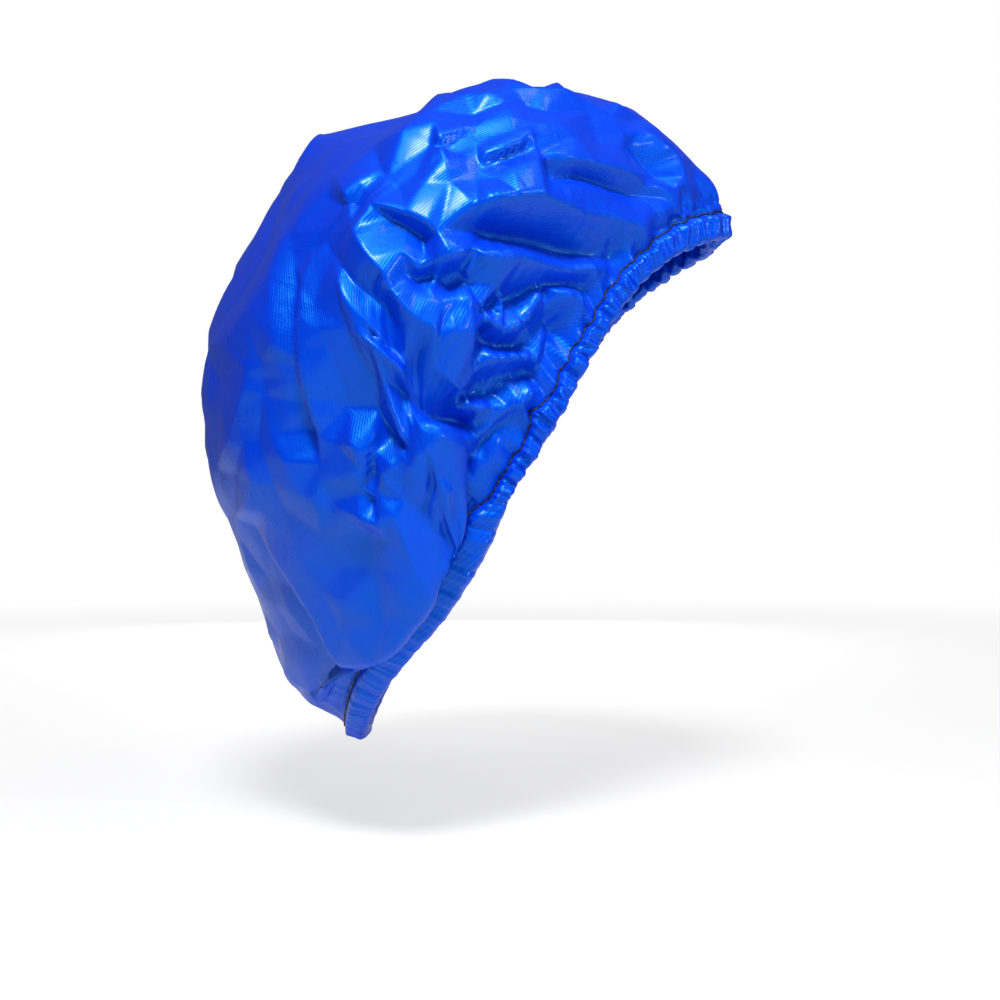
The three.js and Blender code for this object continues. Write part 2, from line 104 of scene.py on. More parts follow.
def splineThrough(points, steps=60):
    held = np.array([points[0], *points, points[-1]], float)
    t = np.linspace(0, 1, steps, endpoint=False)[:, None]
    spans = []
    for a, b, c, d in zip(held, held[1:], held[2:], held[3:]):
        ease, leave = (c - a) / 2, (d - b) / 2
        spans.append((2 * b - 2 * c + ease + leave) * t**3
                     + (-3 * b + 3 * c - 2 * ease - leave) * t**2 + ease * t + b)
    return np.vstack([*spans, held[-1:]])


def evenly(points, count=400, closed=False):
    points = np.asarray(points, float)
    if closed:
        points = np.vstack([points, points[:1]])
    along = np.concatenate([[0], np.cumsum(np.linalg.norm(np.diff(points, axis=0), axis=1))])
    wanted = np.linspace(0, along[-1], count, endpoint=not closed)
    return np.column_stack([np.interp(wanted, along, points[:, k]) for k in range(points.shape[1])])


def outline(edge, centre, reach, shares):
    middle = [(centre + out * reach, up * bag["depth"]) for out, up in shares]
    return evenly(splineThrough([(edge, 0), *middle, (centre, bag["depth"])]))


edgeCurve = splineThrough([(math.radians(d), s * opening["sideArch"]) for d, s in edgeHeightShares])
frontCurve = outline(halfLength, bag["forward"],
                        halfLength + bag["frontBulge"] - bag["forward"], frontShares)
backCurve = outline(-halfLength, bag["forward"],
                    -(halfLength + bag["backBulge"] + bag["forward"]), backShares)
sideCurve = outline(halfWidth, 0, bag["width"] / 2, sideShares)
foldedCurve = outline(halfWidth, 0, bag["width"] / 2, foldedShares)


def fromFront(angle):
    return np.arccos(np.clip(np.cos(angle), -1, 1))


def hemHeight(angle):
    return np.interp(fromFront(angle), edgeCurve[:, 0], edgeCurve[:, 1])


def lipShare(angle):
    start, end = math.radians(bag["lipStart"]), math.radians(bag["lipEnd"])
    along = np.clip((fromFront(angle) - start) / (end - start), 0, 1)
    return smooth(np.sin(along * math.pi) * bag["lipSwell"])


def lipSink(angle, share):
    start, whole, fade, end = lipSagHeights
    up = smooth((share - start) / (whole - start)) * (1 - smooth((share - fade) / (end - fade)))
    return bag["lipSag"] * np.interp(np.degrees(fromFront(angle)), *np.array(lipSagShares).T) * up


def alongCurve(curve, share):
    places = np.linspace(0, 1, len(curve))
    return np.interp(share, places, curve[:, 0]), np.interp(share, places, curve[:, 1])


def bagPlace(angle, share):
    frontX, frontZ = alongCurve(frontCurve, share)
    backX, backZ = alongCurve(backCurve, share)
    sideY, sideZ = alongCurve(sideCurve, share)
    foldY, foldZ = alongCurve(foldedCurve, share)
    lip = lipShare(angle)
    sideY, sideZ = sideY + (foldY - sideY) * lip, sideZ + (foldZ - sideZ) * lip
    cosine, sine = np.cos(angle), np.sin(angle)
    middle = (frontZ + backZ) / 2
    sink = lipSink(angle, share)
    spread = bag["lipSpread"] * sink
    edgeRise = hemHeight(angle) * (1 - smooth(share / bag["edgeReach"])) - sink
    return np.stack([
        (frontX + backX) / 2 + ((frontX - backX) / 2 + spread) * cosine,
        (sideY + spread) * sine,
        edgeRise + middle + (frontZ - backZ) / 2 * cosine + (sideZ - middle) * sine**2,
    ], -1)


def tipBack(points):
    x, y, z = points[..., 0], points[..., 1], points[..., 2]
    return np.stack([math.cos(tilt) * x - math.sin(tilt) * z, y,
                     math.sin(tilt) * x + math.cos(tilt) * z], -1)


def unit(vectors):
    return vectors / np.maximum(np.linalg.norm(vectors, axis=-1, keepdims=True), 1e-12)


def pointNormals(points, faces):
    corners = points[faces]
    across = np.cross(corners[:, 2] - corners[:, 0], corners[:, 3] - corners[:, 1])
    normals = np.zeros_like(points)
    for k in range(4):
        np.add.at(normals, faces[:, k], across)
    return unit(normals)


def meshPiece(name, points, faces, flat=None):
    mesh = bpy.data.meshes.new(name)
    mesh.from_pydata([tuple(p) for p in points], [], [tuple(f) for f in faces])
    mesh.update()
    if flat is not None:  # the cloth's own pattern, in metres
        layer = mesh.uv_layers.new(name="pattern")
        index = np.zeros(len(mesh.loops), int)
        mesh.loops.foreach_get("vertex_index", index)
        layer.data.foreach_set("uv", np.asarray(flat, np.float32)[index].ravel())
    mesh.polygons.foreach_set("use_smooth", [True] * len(mesh.polygons))
    piece = bpy.data.objects.new(name, mesh)
    scene.collection.objects.link(piece)
    return piece


# The row of stitches, and the ruffles that it draws in.
hem = {
    "lean": 14, "frontLean": 38,
    "seamRuffle": 0.0014,  # in and out wave of the stitches
    "seamScallop": 0.0005,  # and their wave up and down
    "seamOffset": 0.00035,  # each layer's middle from the seam's middle
    "farShift": 6,  # degrees that the stitches' wander is shifted on the far side
    "pleatSeed": 21, "leastPleat": 0.35,
    "pleatRooms": [(0.0024, 0.0072), (0.0022, 0.0066), (0.0008, 0.0021), (0.005, 0.013)],  # narrowest, widest
    "chord": 0.02,  # radians each way over which the stitches' direction is taken
}
# How far the gathers pull the stitches towards the free edge: degrees from the front, metres.
seamWander = [
    (0, -0.0012), (36, -0.0012), (44, 0.0006), (60, 0.0014), (64, 0.0026), (72, 0.0015),
    (80, 0.0028), (83.5, -0.001), (87, 0.0028), (97, 0.003), (99.5, 0.0022), (103, -0.0035),
    (118, -0.004), (140, -0.003), (165, 0), (180, 0),
]
# How deep the pleats are: degrees from the front, share.
pleatShares = [(0, 0.8), (30, 1), (92, 1), (104, 0.4), (140, 0.3), (180, 0.3)]
hemSteps = np.linspace(0, turn, 1441)
hemLine = np.stack([halfLength * np.cos(hemSteps), halfWidth * np.sin(hemSteps), hemHeight(hemSteps)], -1)
hemRun = np.concatenate([[0], np.cumsum(np.linalg.norm(np.diff(hemLine, axis=0), axis=1))])
hemRunLength = hemRun[-1]


def hemAngle(share):  # angle of the place that far along the row of stitches
    return np.interp(np.mod(share, 1), hemRun / hemRunLength, hemSteps)


def pleatTable(seed, narrow, wide):  # crests and dips by turns round the hem: place, height from -1 to 1
    rng = np.random.default_rng(seed)
    count = 2 * int(hemRunLength / (narrow + wide))
    places = np.cumsum(rng.uniform(narrow, wide, count))
    places *= hemRunLength / places[-1]
    heights = np.where(np.arange(count) % 2, 1, -1) * rng.uniform(hem["leastPleat"], 1, count)
    return np.concatenate([places[-1:] - hemRunLength, places]), np.concatenate([heights[-1:], heights])


pleatTables = [pleatTable(hem["pleatSeed"] + number, *room) for number, room in enumerate(hem["pleatRooms"])]


def pleats(angle, number, slide=0.0):
    run = np.interp(np.mod(angle, turn), hemSteps, hemRun) + slide
    depth = np.interp(np.degrees(fromFront(angle)), *np.array(pleatShares).T)
    return depth * np.interp(np.mod(run, hemRunLength), *pleatTables[number])


def seamShift(angle):
    degrees = np.degrees(fromFront(angle)) + np.where(np.sin(angle) > 0, hem["farShift"], 0)
    return np.interp(degrees, *np.array(seamWander).T) + hem["seamScallop"] * pleats(angle, 0)


def stitchFrame(angle):
    point = np.stack([halfLength * np.cos(angle), halfWidth * np.sin(angle), hemHeight(angle)], -1)
    ahead, behind = angle + hem["chord"], angle - hem["chord"]
    along = unit(np.stack([
        halfLength * (np.cos(ahead) - np.cos(behind)), halfWidth * (np.sin(ahead) - np.sin(behind)),
        hemHeight(ahead) - hemHeight(behind)], -1))
    level = unit(np.cross(along, [0, 0, 1.0]))
    up = np.cross(level, along)
    lean = np.radians(hem["lean"] + hem["frontLean"] * np.maximum(0, np.cos(angle)) ** 3)[..., None]
    down = -np.cos(lean) * up - np.sin(lean) * level
    out = np.cos(lean) * level - np.sin(lean) * up
    return point + seamShift(angle)[..., None] * down, along, down, out


crown = {
    "discRadius": 0.245,
    "upSlack": 1.03, "calmRear": 1.0,  # spare length up the cloth; how much flatter the hanging part is
    "foldRise": 1.6, "farRise": 0.85,  # height over the heights read, and the far side's share of it
    "farTurn": (0.95, 5), "farUp": 1.03,  # where the far side's folds lie
    "frontFade": 9, "sideFade": (0.5, 0.2),  # degrees, and start and run of the way up, where folds run out
    "topSink": 1.6, "sinkStart": 0.25, "sinkRun": 0.25,  # millimetres that the top lies below the even bag
    "gatherRise": 0.0017, "fineShare": 0.8, "gatherSlide": 0.15,
    "fineGather": (0.004, 0.011), "broadGather": (0.009, 0.024),  # metres up to a crease's peak, past it
    "holdStart": 0.01, "holdRun": 0.05, "topLoss": 0.4,  # where the hold on the folds starts, and eases
    "crumpleStart": 0.02,  # metres up from the stitches over which the crumples start
    "shapePull": 0.25, "blur": 0.045, "bendEvery": 2, "blurEvery": 6,  # pull on the shape, its blur, rounds
    # Cells, rounds, stiffness, spare cloth taken up, hold on the folds, crumples (seed, size, height).
    "levels": [
        (38, 500, 0.1, 1.0, 0.03, [(4, 0.05, 0.004)]),
        (76, 400, 0.12, 0.9, 0.08, [(6, 0.03, 0.002)]),
        (152, 200, 0.08, 0.35, 0.35, [(7, 0.018, 0.0006)]),
        (304, 60, 0.02, 0.1, 0.5, [(9, 0.011, 0.0002)]),
    ],
    "creaseLimit": 0.05,  # share of a cell; sharper bends than this are left as creases
}
facets = {  # millimetres are those of the bag laid flat
    "degreeRoom": 1.75, "upRoom": 245,  # millimetres for a degree round, and for the whole way up
    "lineStep": 5, "lineEnd": 6,  # between points along a fold line, and where it runs out at its ends
    "evenDegrees": (-10, 191, 6), "evenTop": 0.72,  # even cloth at the stitches and round the top
    "evenEnds": (-10, 176), "evenShares": (0.1, 0.7, 0.1),  # and in front of and behind the folds
    "seed": 31, "tries": 4000, "room": 8, "rise": 2.8,  # between small facets' corners, and their height
    "degrees": (-8, 174), "shares": (0.02, 0.7), "calmRoom": 1.5, "calmShare": 0.42, "calmDegrees": 20,
    "topStart": 0.44, "topTries": 2500, "topRoom": 16, "topRise": 1.3,  # the same round the disc's middle
    "topCorners": 60, "topMargin": 6,
}
# Where the cloth is crumpled and where it hangs calm. Rear: start in degrees from the front, its slant
# up the bag, and its run. Front and top: start and run, in degrees and as shares of the way up.
zones = {
    "crumpleFront": (8, 25), "crumpleRear": (108, 60, 22), "crumpleTop": (0.42, 0.2), "crumpleLeast": 0.35,
    "calmRear": (98, 75, 10), "calmTop": (0.44, 0.12),
}
# Spare cloth round the bag: millimetres up from the stitches, length of cloth over length of ring.
gatherShares = [
    (0, 1.22), (8, 1.26), (22, 1.34), (55, 1.34), (85, 1.2), (120, 1.08), (160, 1.03), (245, 1.01),
]
# Crests and hollows of the folds on one side, from places read off the real cap. Each line holds
# places in threes: tenths of a degree from the front, thousandths of the way up, millimetres out.
foldLines = [
    [698, 291, 5,  651, 251, 5.5,  604, 207, 5.5,  580, 167, 5,  554, 124, 4,  508, 81, 3.5,
     495, 60, 3,  426, 12, 1.5],
    [718, 265, -4,  676, 191, -5.5,  620, 122, -5.5,  572, 50, -4,  517, 1, -2],
    [776, 233, 3,  749, 231, 3.5,  700, 188, 3.5,  668, 132, 3,  631, 73, 2.5,  554, 9, 1.5],
    [791, 174, -4,  727, 123, -4,  680, 97, -3,  639, 43, -2.5,  600, 1, -1.5],
    [678, 78, 3,  645, 34, 3,  615, 1, 1.5],
    [701, 100, 2,  736, 103, 2,  758, 108, 2],
    [705, 76, -2,  729, 45, -4,  696, 3, -3,  682, 0, -2],
    [811, 185, 1,  790, 125, 3,  745, 91, 2.5],
    [832, 151, -4,  801, 103, -4,  774, 63, -3],
    [879, 224, 3.5,  855, 204, 3.5,  830, 172, 3,  812, 163, 1],
    [808, 299, 3.5,  780, 271, 3.5,  746, 248, 2],
    [824, 282, -3,  794, 256, -3,  769, 231, -2],
    [826, 230, 1.5,  799, 185, 1.5],
    [856, 137, 2,  836, 129, 3,  804, 85, 3,  781, 45, 2],
    [888, 120, -3,  846, 89, -3,  810, 42, -3,  780, 10, -2],
    [925, 201, 2,  905, 136, 2.5,  868, 131, 2],
    [525, 250, 1,  512, 221, 2.5,  449, 160, 3,  400, 121, 3,  385, 92, 2],
    [534, 225, -1.5,  541, 200, -2,  497, 173, -1.5,  456, 128, -1.5,  402, 76, -1],
    [546, 191, 2,  503, 144, 2,  462, 105, 1.5],
    [627, 282, 2.5,  580, 263, 3,  545, 245, 3,  530, 233, 2.5],
    [645, 333, -1,  598, 306, -1.5,  544, 274, -1.5],
    [594, 322, 1.5,  557, 292, 2,  509, 289, 2,  478, 303, 1],
    [616, 433, -1.5,  616, 354, -1.5],
    [306, 193, -1,  306, 163, -3,  302, 127, -3.5,  306, 81, -2.5],
    [251, 184, 1.5,  245, 136, 2.5,  230, 117, 2.5,  262, 73, 2],
    [295, 65, 2,  343, 33, 1],
    [294, 45, -2,  274, 15, -1.5],
    [131, 109, 1.5,  129, 70, 1.5],
    [406, 266, 1.2,  462, 284, 1.2,  505, 280, 1.2,  521, 264, 1.2],
    [536, 381, -1.2,  600, 340, -1.2,  652, 310, -0.8],
    [889, 370, 2.5,  896, 333, 3,  900, 316, 3,  902, 291, 3.5,  894, 263, 3.5,  884, 231, 4,
     852, 199, 3.5,  832, 178, 3,  809, 175, 2],
    [859, 325, -3,  845, 302, -3.5,  820, 278, -3.5,  811, 240, -3.5,  790, 225, -4],
    [872, 296, 1,  855, 257, 1.5,  836, 228, 1.5],
    [824, 234, 2,  811, 212, 2,  801, 188, 1.5],
    [800, 178, -4,  814, 159, -4,  830, 148, -4,  815, 112, -3,  788, 87, -3,  748, 86, -3],
    [750, 176, 1,  771, 151, 2,  791, 133, 2.5],
    [756, 109, 3,  731, 104, 2.5,  702, 102, 2.5],
    [714, 76, -2,  720, 51, -3,  692, 14, -3,  694, 1, -2],
    [865, 137, 1,  841, 135, 3,  820, 107, 3,  798, 70, 2.5,  786, 51, 1.5],
    [924, 204, 2,  919, 174, 2.5,  905, 136, 3,  872, 140, 2],
    [871, 124, -1.5,  852, 92, -2,  820, 66, -2,  782, 31, -2.5],
    [924, 144, -3,  895, 103, -3,  874, 77, -2,  842, 60, -2],
    [928, 129, 1.5,  904, 103, 2.5,  882, 65, 2],
    [898, 51, 1.5,  875, 49, 2.5,  841, 30, 3,  819, 23, 3,  775, 5, 3,  745, 1, 1.5],
    [861, 25, 2.5,  835, 1, 2],
    [862, 6, -3.5,  850, 1, -4],
    [1026, 327, -3,  1002, 255, -5,  974, 189, -5,  934, 98, -4,  935, 75, -3],
    [1078, 293, 1,  1036, 269, 2.5,  1014, 242, 3,  981, 178, 3,  959, 108, 3,  936, 58, 2],
    [1129, 284, 2,  1070, 271, 3.5,  1018, 228, 4,  998, 171, 3.5,  961, 52, 3],
    [959, 42, 3,  946, 15, 3.5,  909, 1, 2.5,  888, 1, 1.5],
    [975, 53, -1,  915, 46, -2,  895, 38, -2],
    [1145, 265, 1.5,  1101, 260, 2,  1070, 238, 2.5,  1056, 208, 2],
    [1090, 225, 2.5,  1054, 191, 1.5],
    [1129, 237, -3,  1100, 240, -3,  1082, 238, -2],
    [1025, 372, -1,  1054, 366, -2,  1092, 359, -3,  1099, 333, -4,  1086, 297, -3],
    [1036, 345, 1.5,  1052, 333, 1.5,  1074, 313, 2,  1072, 290, 1.5],
    [945, 447, 1.5,  961, 417, 2.5,  970, 376, 2,  974, 340, 1.5],
    [978, 360, -1.5,  975, 319, -2,  955, 274, -1.5],
    [1004, 425, 1.5,  1001, 393, 2.5,  988, 351, 3,  985, 325, 3,  980, 281, 2],
    [1187, 377, 2,  1159, 364, 3,  1147, 340, 3,  1179, 321, 2.5,  1201, 313, 2],
    [1139, 335, -1.5,  1170, 315, -2,  1196, 295, -2],
    [1180, 297, 2,  1134, 306, 2.5,  1094, 294, 2.5],
    [1264, 319, 2,  1237, 303, 2.5,  1220, 284, 3.5,  1194, 265, 3.5,  1140, 261, 2],
    [1041, 153, 1,  979, 10, 1.5,  945, 1, 1.2],
    [1214, 253, 1.5,  1235, 224, 1.2],
    [1239, 273, -1,  1264, 239, -1],
    [1150, 209, -2,  1120, 194, -3.5,  1084, 180, -3.5],
    [838, 734, -1.5,  926, 607, -2.2,  1001, 570, -2.5,  1064, 561, -2,  1120, 530, -2,
     1168, 492, -2.5,  1205, 447, -3,  1235, 398, -2.5],
    [1000, 543, 1.5,  1079, 532, 2,  1132, 502, 2,  1174, 460, 1.5,  1209, 405, 1.5],
    [1022, 505, 1,  1055, 489, 1.5,  1068, 468, 1],
    [968, 692, 1,  1072, 620, 1.2,  1151, 553, 1],
    [1219, 559, -1.2,  1268, 516, -1.2],
    [1394, 772, -1.2,  1339, 673, -1.2,  1390, 622, -1.2],
    [1246, 575, 1.5,  1290, 546, 2,  1366, 514, 3,  1409, 494, 3,  1341, 462, 2],
    [1301, 456, 2,  1339, 441, 2.5],
    [842, 473, 2,  870, 423, 3,  884, 385, 3,  890, 355, 3,  898, 331, 3],
    [932, 406, -1,  932, 372, -1.5,  919, 327, -2,  935, 291, -2],
    [948, 444, 2,  971, 423, 2.5,  980, 396, 2.5,  984, 364, 2],
    [795, 422, -2,  791, 369, -2.5,  788, 334, -3,  810, 318, -3],
    [795, 474, 1.5,  788, 431, 2,  779, 379, 2,  772, 319, 2.5],
    [835, 353, 1.5,  834, 330, 2,  836, 315, 2],
    [784, 603, -1,  800, 541, -1.5,  796, 488, -1.5],
    [864, 539, -1,  900, 504, -1.5,  919, 449, -1.5],
    [1346, 395, 2.5,  1295, 354, 2.5,  1261, 318, 3],
    [1532, 345, -2,  1496, 305, -2.5,  1476, 251, -3,  1454, 216, -3,  1452, 157, -2.5,  1461, 51, -2],
    [1472, 332, 1.2,  1448, 283, 1.5,  1432, 234, 2,  1434, 162, 2],
    [1606, 105, -2,  1512, 77, -2],
    [1619, 87, 1.2,  1480, 38, 1.5,  1414, 14, 1],
    [1234, 227, 1.5,  1259, 189, 1.2,  1257, 45, 1],
    [1140, 208, -2.5,  1110, 192, -2.5],
    [1237, 376, 2,  1262, 331, 2],
    [425, 721, -1.5,  694, 508, -1.5,  746, 418, -1],
    [487, 514, 1.2,  615, 412, 1.5,  684, 349, 1],
    [715, 619, 1.2,  804, 509, 1.2],
    [324, 266, -1,  395, 202, -1.2],
    [182, 217, 1.2,  233, 139, 1.5],
    [445, 375, 1,  516, 315, 1.2],
]


def discGrid(cells):  # square grid drawn out to a disc: share round, share of the radius
    steps = np.linspace(-1, 1, cells + 1)
    x, y = np.meshgrid(steps, steps, indexing="ij")
    radius = np.maximum(abs(x), abs(y))
    flat = abs(y) <= abs(x)
    slope = np.where(flat, y / np.where(x == 0, 1, x), x / np.where(y == 0, 1, y))
    around = np.where(flat, math.pi / 4 * slope + np.where(x < 0, math.pi, 0),
                      math.pi / 2 - math.pi / 4 * slope + np.where(y < 0, math.pi, 0))
    return np.mod(around, turn) / turn, radius


def gridFaces(cells):
    number = np.arange((cells + 1) ** 2).reshape(cells + 1, cells + 1)
    return np.stack([number[:-1, :-1], number[1:, :-1], number[1:, 1:], number[:-1, 1:]], -1).reshape(-1, 4)


def foldPlaces(degrees, share):  # the bag laid flat, in millimetres, for joining the fold lines up
    return np.stack([facets["degreeRoom"] * np.asarray(degrees), facets["upRoom"] * np.asarray(share)], -1)


def joined(points, rises):  # flat triangles between the points
    corners, _, faces, kept, _, _ = delaunay_2d_cdt([Vector(p) for p in points], [], [], 0, 1e-4)
    height = np.array([np.mean([rises[k] for k in group]) for group in kept])
    return np.array([tuple(c) for c in corners]), height, np.array(faces)


def riseAt(mesh, places):  # height of the flat triangles over each place
    corners, height, faces = mesh
    least = 1e-9  # smaller triangles are lines, and a place so little outside counts as inside
    found = np.zeros(len(places))
    order = np.argsort(places[:, 0])
    sortedX = places[order, 0]
    for face in faces:
        a, b, c = corners[face]
        low, high = np.minimum(np.minimum(a, b), c), np.maximum(np.maximum(a, b), c)
        near = order[np.searchsorted(sortedX, low[0]):np.searchsorted(sortedX, high[0], "right")]
        near = near[(places[near, 1] >= low[1]) & (places[near, 1] <= high[1])]
        size = (b - a)[0] * (c - a)[1] - (b - a)[1] * (c - a)[0]
        if not len(near) or abs(size) < least:
            continue
        gap = places[near] - a
        v = (gap[:, 0] * (c - a)[1] - gap[:, 1] * (c - a)[0]) / size
        w = ((b - a)[0] * gap[:, 1] - (b - a)[1] * gap[:, 0]) / size
        inside = (v >= -least) & (w >= -least) & (v + w <= 1 + least)
        near, v, w = near[inside], v[inside], w[inside]
        one, two, three = height[face]
        found[near] = one + v * (two - one) + w * (three - one)
    return found


def isClear(kept, place, room):
    return ((kept - place) ** 2).sum(1).min() > room**2


def foldMesh():
    points, rises = [], []
    for line in foldLines:
        line = np.array(line, float).reshape(-1, 3) / (10, 1000, 1)
        flat = foldPlaces(line[:, 0], line[:, 1])
        reach = np.concatenate([[0], np.cumsum(np.linalg.norm(np.diff(flat, axis=0), axis=1))])
        wanted = np.linspace(0, reach[-1], max(2, int(reach[-1] / facets["lineStep"]) + 1))
        points += [[np.interp(w, reach, flat[:, k]) for k in (0, 1)] for w in wanted]
        end = np.minimum(wanted, reach[-1] - wanted)
        rises += list(np.interp(wanted, reach, line[:, 2]) * (0.5 + 0.5 * smooth(end / facets["lineEnd"])))
    for degrees in range(*facets["evenDegrees"]):
        points += [foldPlaces(degrees, 0.0), foldPlaces(degrees, facets["evenTop"])]
        rises += [0, 0]
    for share in np.arange(*facets["evenShares"]):
        points += [foldPlaces(degrees, share) for degrees in facets["evenEnds"]]
        rises += [0, 0]
    lines = joined(points, rises)
    rng = np.random.default_rng(facets["seed"])
    kept = np.array(points, float)
    tries = facets["tries"]
    for degrees, share in zip(rng.uniform(*facets["degrees"], tries), rng.uniform(*facets["shares"], tries)):
        place = foldPlaces(degrees, share)
        calm = share > facets["calmShare"] or degrees < facets["calmDegrees"]
        if isClear(kept, place, facets["room"] * (facets["calmRoom"] if calm else 1.0)):
            kept = np.vstack([kept, place])
    added = kept[len(points):]
    angle, share = np.radians(added[:, 0] / facets["degreeRoom"]), added[:, 1] / facets["upRoom"]
    push = facets["rise"] * crumpled(angle, share) * rng.uniform(-1, 1, len(added))
    return joined(list(kept), list(rises) + list(riseAt(lines, added) + push))


def topMesh():  # facets round the middle of the disc, which the fold lines don't reach
    rng = np.random.default_rng(facets["seed"] + 1)
    reach = 1000 * crown["discRadius"] * (1 - facets["topStart"])
    ring = np.linspace(0, turn, facets["topCorners"], endpoint=False)
    kept = reach * np.stack([np.cos(ring), np.sin(ring)], -1)
    tries = facets["topTries"]
    for angle, out in zip(rng.uniform(0, turn, tries), rng.uniform(0, 1, tries)):
        direction = np.array([math.cos(angle), math.sin(angle)])
        place = (reach - facets["topMargin"]) * math.sqrt(out) * direction
        if isClear(kept, place, facets["topRoom"]):
            kept = np.vstack([kept, place])
    rises = facets["topRise"] * rng.uniform(-1, 1, len(kept) - len(ring))
    return joined(list(kept), list(np.concatenate([np.zeros(len(ring)), rises])))


def hump(up, peak, run):  # rises from the stitches to its peak, then runs out
    return smooth(up / peak) * (1 - smooth((up - peak) / run))


def pastLine(degrees, share, start, slant, run):
    return smooth((degrees - start - slant * share) / run)


def belowTop(share, start, run):
    return 1 - smooth((share - start) / run)


def crumpled(angle, share):  # how much the cloth is crumpled there, 0 to 1
    degrees = np.degrees(fromFront(angle))
    start, run = zones["crumpleFront"]
    side = smooth((degrees - start) / run) * (1 - pastLine(degrees, share, *zones["crumpleRear"]))
    least = zones["crumpleLeast"]
    return least + (1 - least) * side * belowTop(share, *zones["crumpleTop"])


def calmZone(angle, share):  # the smooth part that hangs at the back
    degrees = np.degrees(fromFront(angle))
    return pastLine(degrees, share, *zones["calmRear"]) * belowTop(share, *zones["calmTop"])


def gathers(angle, share):  # creases that fan out from the stitches
    up = share * crown["discRadius"]
    fine = crown["fineShare"] * hump(up, *crown["fineGather"]) * pleats(angle, 0)
    broad = hump(up, *crown["broadGather"]) * pleats(angle, 3, crown["gatherSlide"] * up)
    return crown["gatherRise"] * (fine + broad)


sideFacets, topFacets = foldMesh(), topMesh()


def foldRise(angle, share):
    degrees = np.degrees(fromFront(angle))
    far = np.sin(angle) > 0  # the other side has much the same folds, a little shifted
    part, shift = crown["farTurn"]
    places = foldPlaces(np.where(far, part * degrees + shift, degrees),
                        np.where(far, share * crown["farUp"], share)).reshape(-1, 2)
    side = riseAt(sideFacets, places).reshape(degrees.shape) * belowTop(share, *crown["sideFade"])
    sink = crown["topSink"] * smooth((share - crown["sinkStart"]) / crown["sinkRun"])
    side = side * smooth(degrees / crown["frontFade"]) - sink * (1 - calmZone(angle, share))
    heading = np.stack([np.cos(angle), np.sin(angle)], -1)
    flat = (1 - share)[..., None] * 1000 * crown["discRadius"] * heading
    top = riseAt(topFacets, flat.reshape(-1, 2)).reshape(degrees.shape)
    rise = crown["foldRise"] * (np.where(far, crown["farRise"], 1.0) * side + top) / 1000
    return rise + gathers(angle, share)


def crumple(points, seed, size, rise):  # smooth hollows that meet in sharp crests
    rng = np.random.default_rng(seed)
    stretch, period = (1, 1, 0.7), 16  # how drawn out the hollows are, and cells before they repeat
    sinkSpread, middle = 0.25, 0.4  # how much the hollows' depths differ, and the height taken as none
    turned = np.linalg.qr(rng.normal(size=(3, 3)))[0]
    places = points @ turned / size * stretch
    table = rng.uniform(size=(period, period, period, 4))
    cell = np.floor(places).astype(int)
    least = np.full(len(points), np.inf)
    for step in np.ndindex(3, 3, 3):
        corner = cell + step - 1
        sites = table[tuple((corner % period).T)]
        depth = ((places - corner - sites[:, :3]) ** 2).sum(1) + sinkSpread * sites[:, 3]
        least = np.minimum(least, depth)
    return rise * 2 * (least - middle)


neighbourWays = ((0, 0), (1, 0), (0, 1), (0, -1))  # along a row or a column, then across the cells


def slanted(one, two, offset):
    if offset > 0:
        return one[:, :-1], two[:, 1:]
    if offset < 0:
        return one[:, 1:], two[:, :-1]
    return one, two


def neighbours(values, axis, offset):
    values = values.swapaxes(0, axis)
    return slanted(values[:-1], values[1:], offset)


def spans(cloth):
    pairs = [neighbours(cloth, *way) for way in neighbourWays]
    return [np.linalg.norm(two - one, axis=-1) for one, two in pairs]


def pullApart(cloth, lengths):
    for axis, offset, rest in lengths:
        moved = cloth.swapaxes(0, axis)
        for first in (0, 1):
            stop = first + 2 * ((moved.shape[0] - first) // 2)
            one, two = slanted(moved[first:stop:2], moved[first + 1:stop + 1:2], offset)
            gap = two - one
            long = np.sqrt((gap * gap).sum(-1))
            change = gap * (0.5 * (1 - rest[first:stop:2] / long))[..., None]
            one += change
            two -= change


def restLengths(base, angle, radius):
    share = 1 - radius
    step = 1e-3
    acrossWay = bagPlace(hemAngle(angle + step), share) - bagPlace(hemAngle(angle - step), share)
    across = np.linalg.norm(acrossWay, axis=-1) / (2 * step * turn * np.maximum(radius, 0.01))
    up = np.linalg.norm(bagPlace(hemAngle(angle), np.minimum(share + step, 1))
                        - bagPlace(hemAngle(angle), np.maximum(share - step, 0)), axis=-1)
    up = up / (np.minimum(share + step, 1) - np.maximum(share - step, 0))
    spare = np.interp(share * crown["discRadius"] * 1000, *np.array(gatherShares).T)
    calm = 1 - crown["calmRear"] * calmZone(hemAngle(angle), share)
    spare, spareUp = 1 + (spare - 1) * calm, 1 + (crown["upSlack"] - 1) * calm * smooth(share / 0.1)
    fullRound = crown["discRadius"] / np.maximum(across, 1e-6)
    spare = np.minimum(spare, np.maximum(1.0, fullRound))
    u, v = radius * np.cos(angle * turn), radius * np.sin(angle * turn)
    found = []
    for way in neighbourWays:
        (u1, u2), (v1, v2), (p1, p2) = [neighbours(values, *way) for values in (u, v, base)]
        mid = np.maximum(np.hypot(u1 + u2, v1 + v2) / 2, 1e-6)
        radial = ((u1 + u2) * (u2 - u1) + (v1 + v2) * (v2 - v1)) / 2 / mid
        around = ((u1 + u2) * (v2 - v1) - (v1 + v2) * (u2 - u1)) / 2 / mid
        a, b, spareHere, upHere = [sum(neighbours(w, *way)) / 2 for w in (up, across, spare, spareUp)]
        ups, rounds = (a * radial) ** 2, (b * around) ** 2
        part = rounds / np.maximum(ups + rounds, 1e-18)
        found.append((*way, np.linalg.norm(p2 - p1, axis=-1)
                      * np.sqrt(part * spareHere**2 + (1 - part) * upHere**2)))
    return found


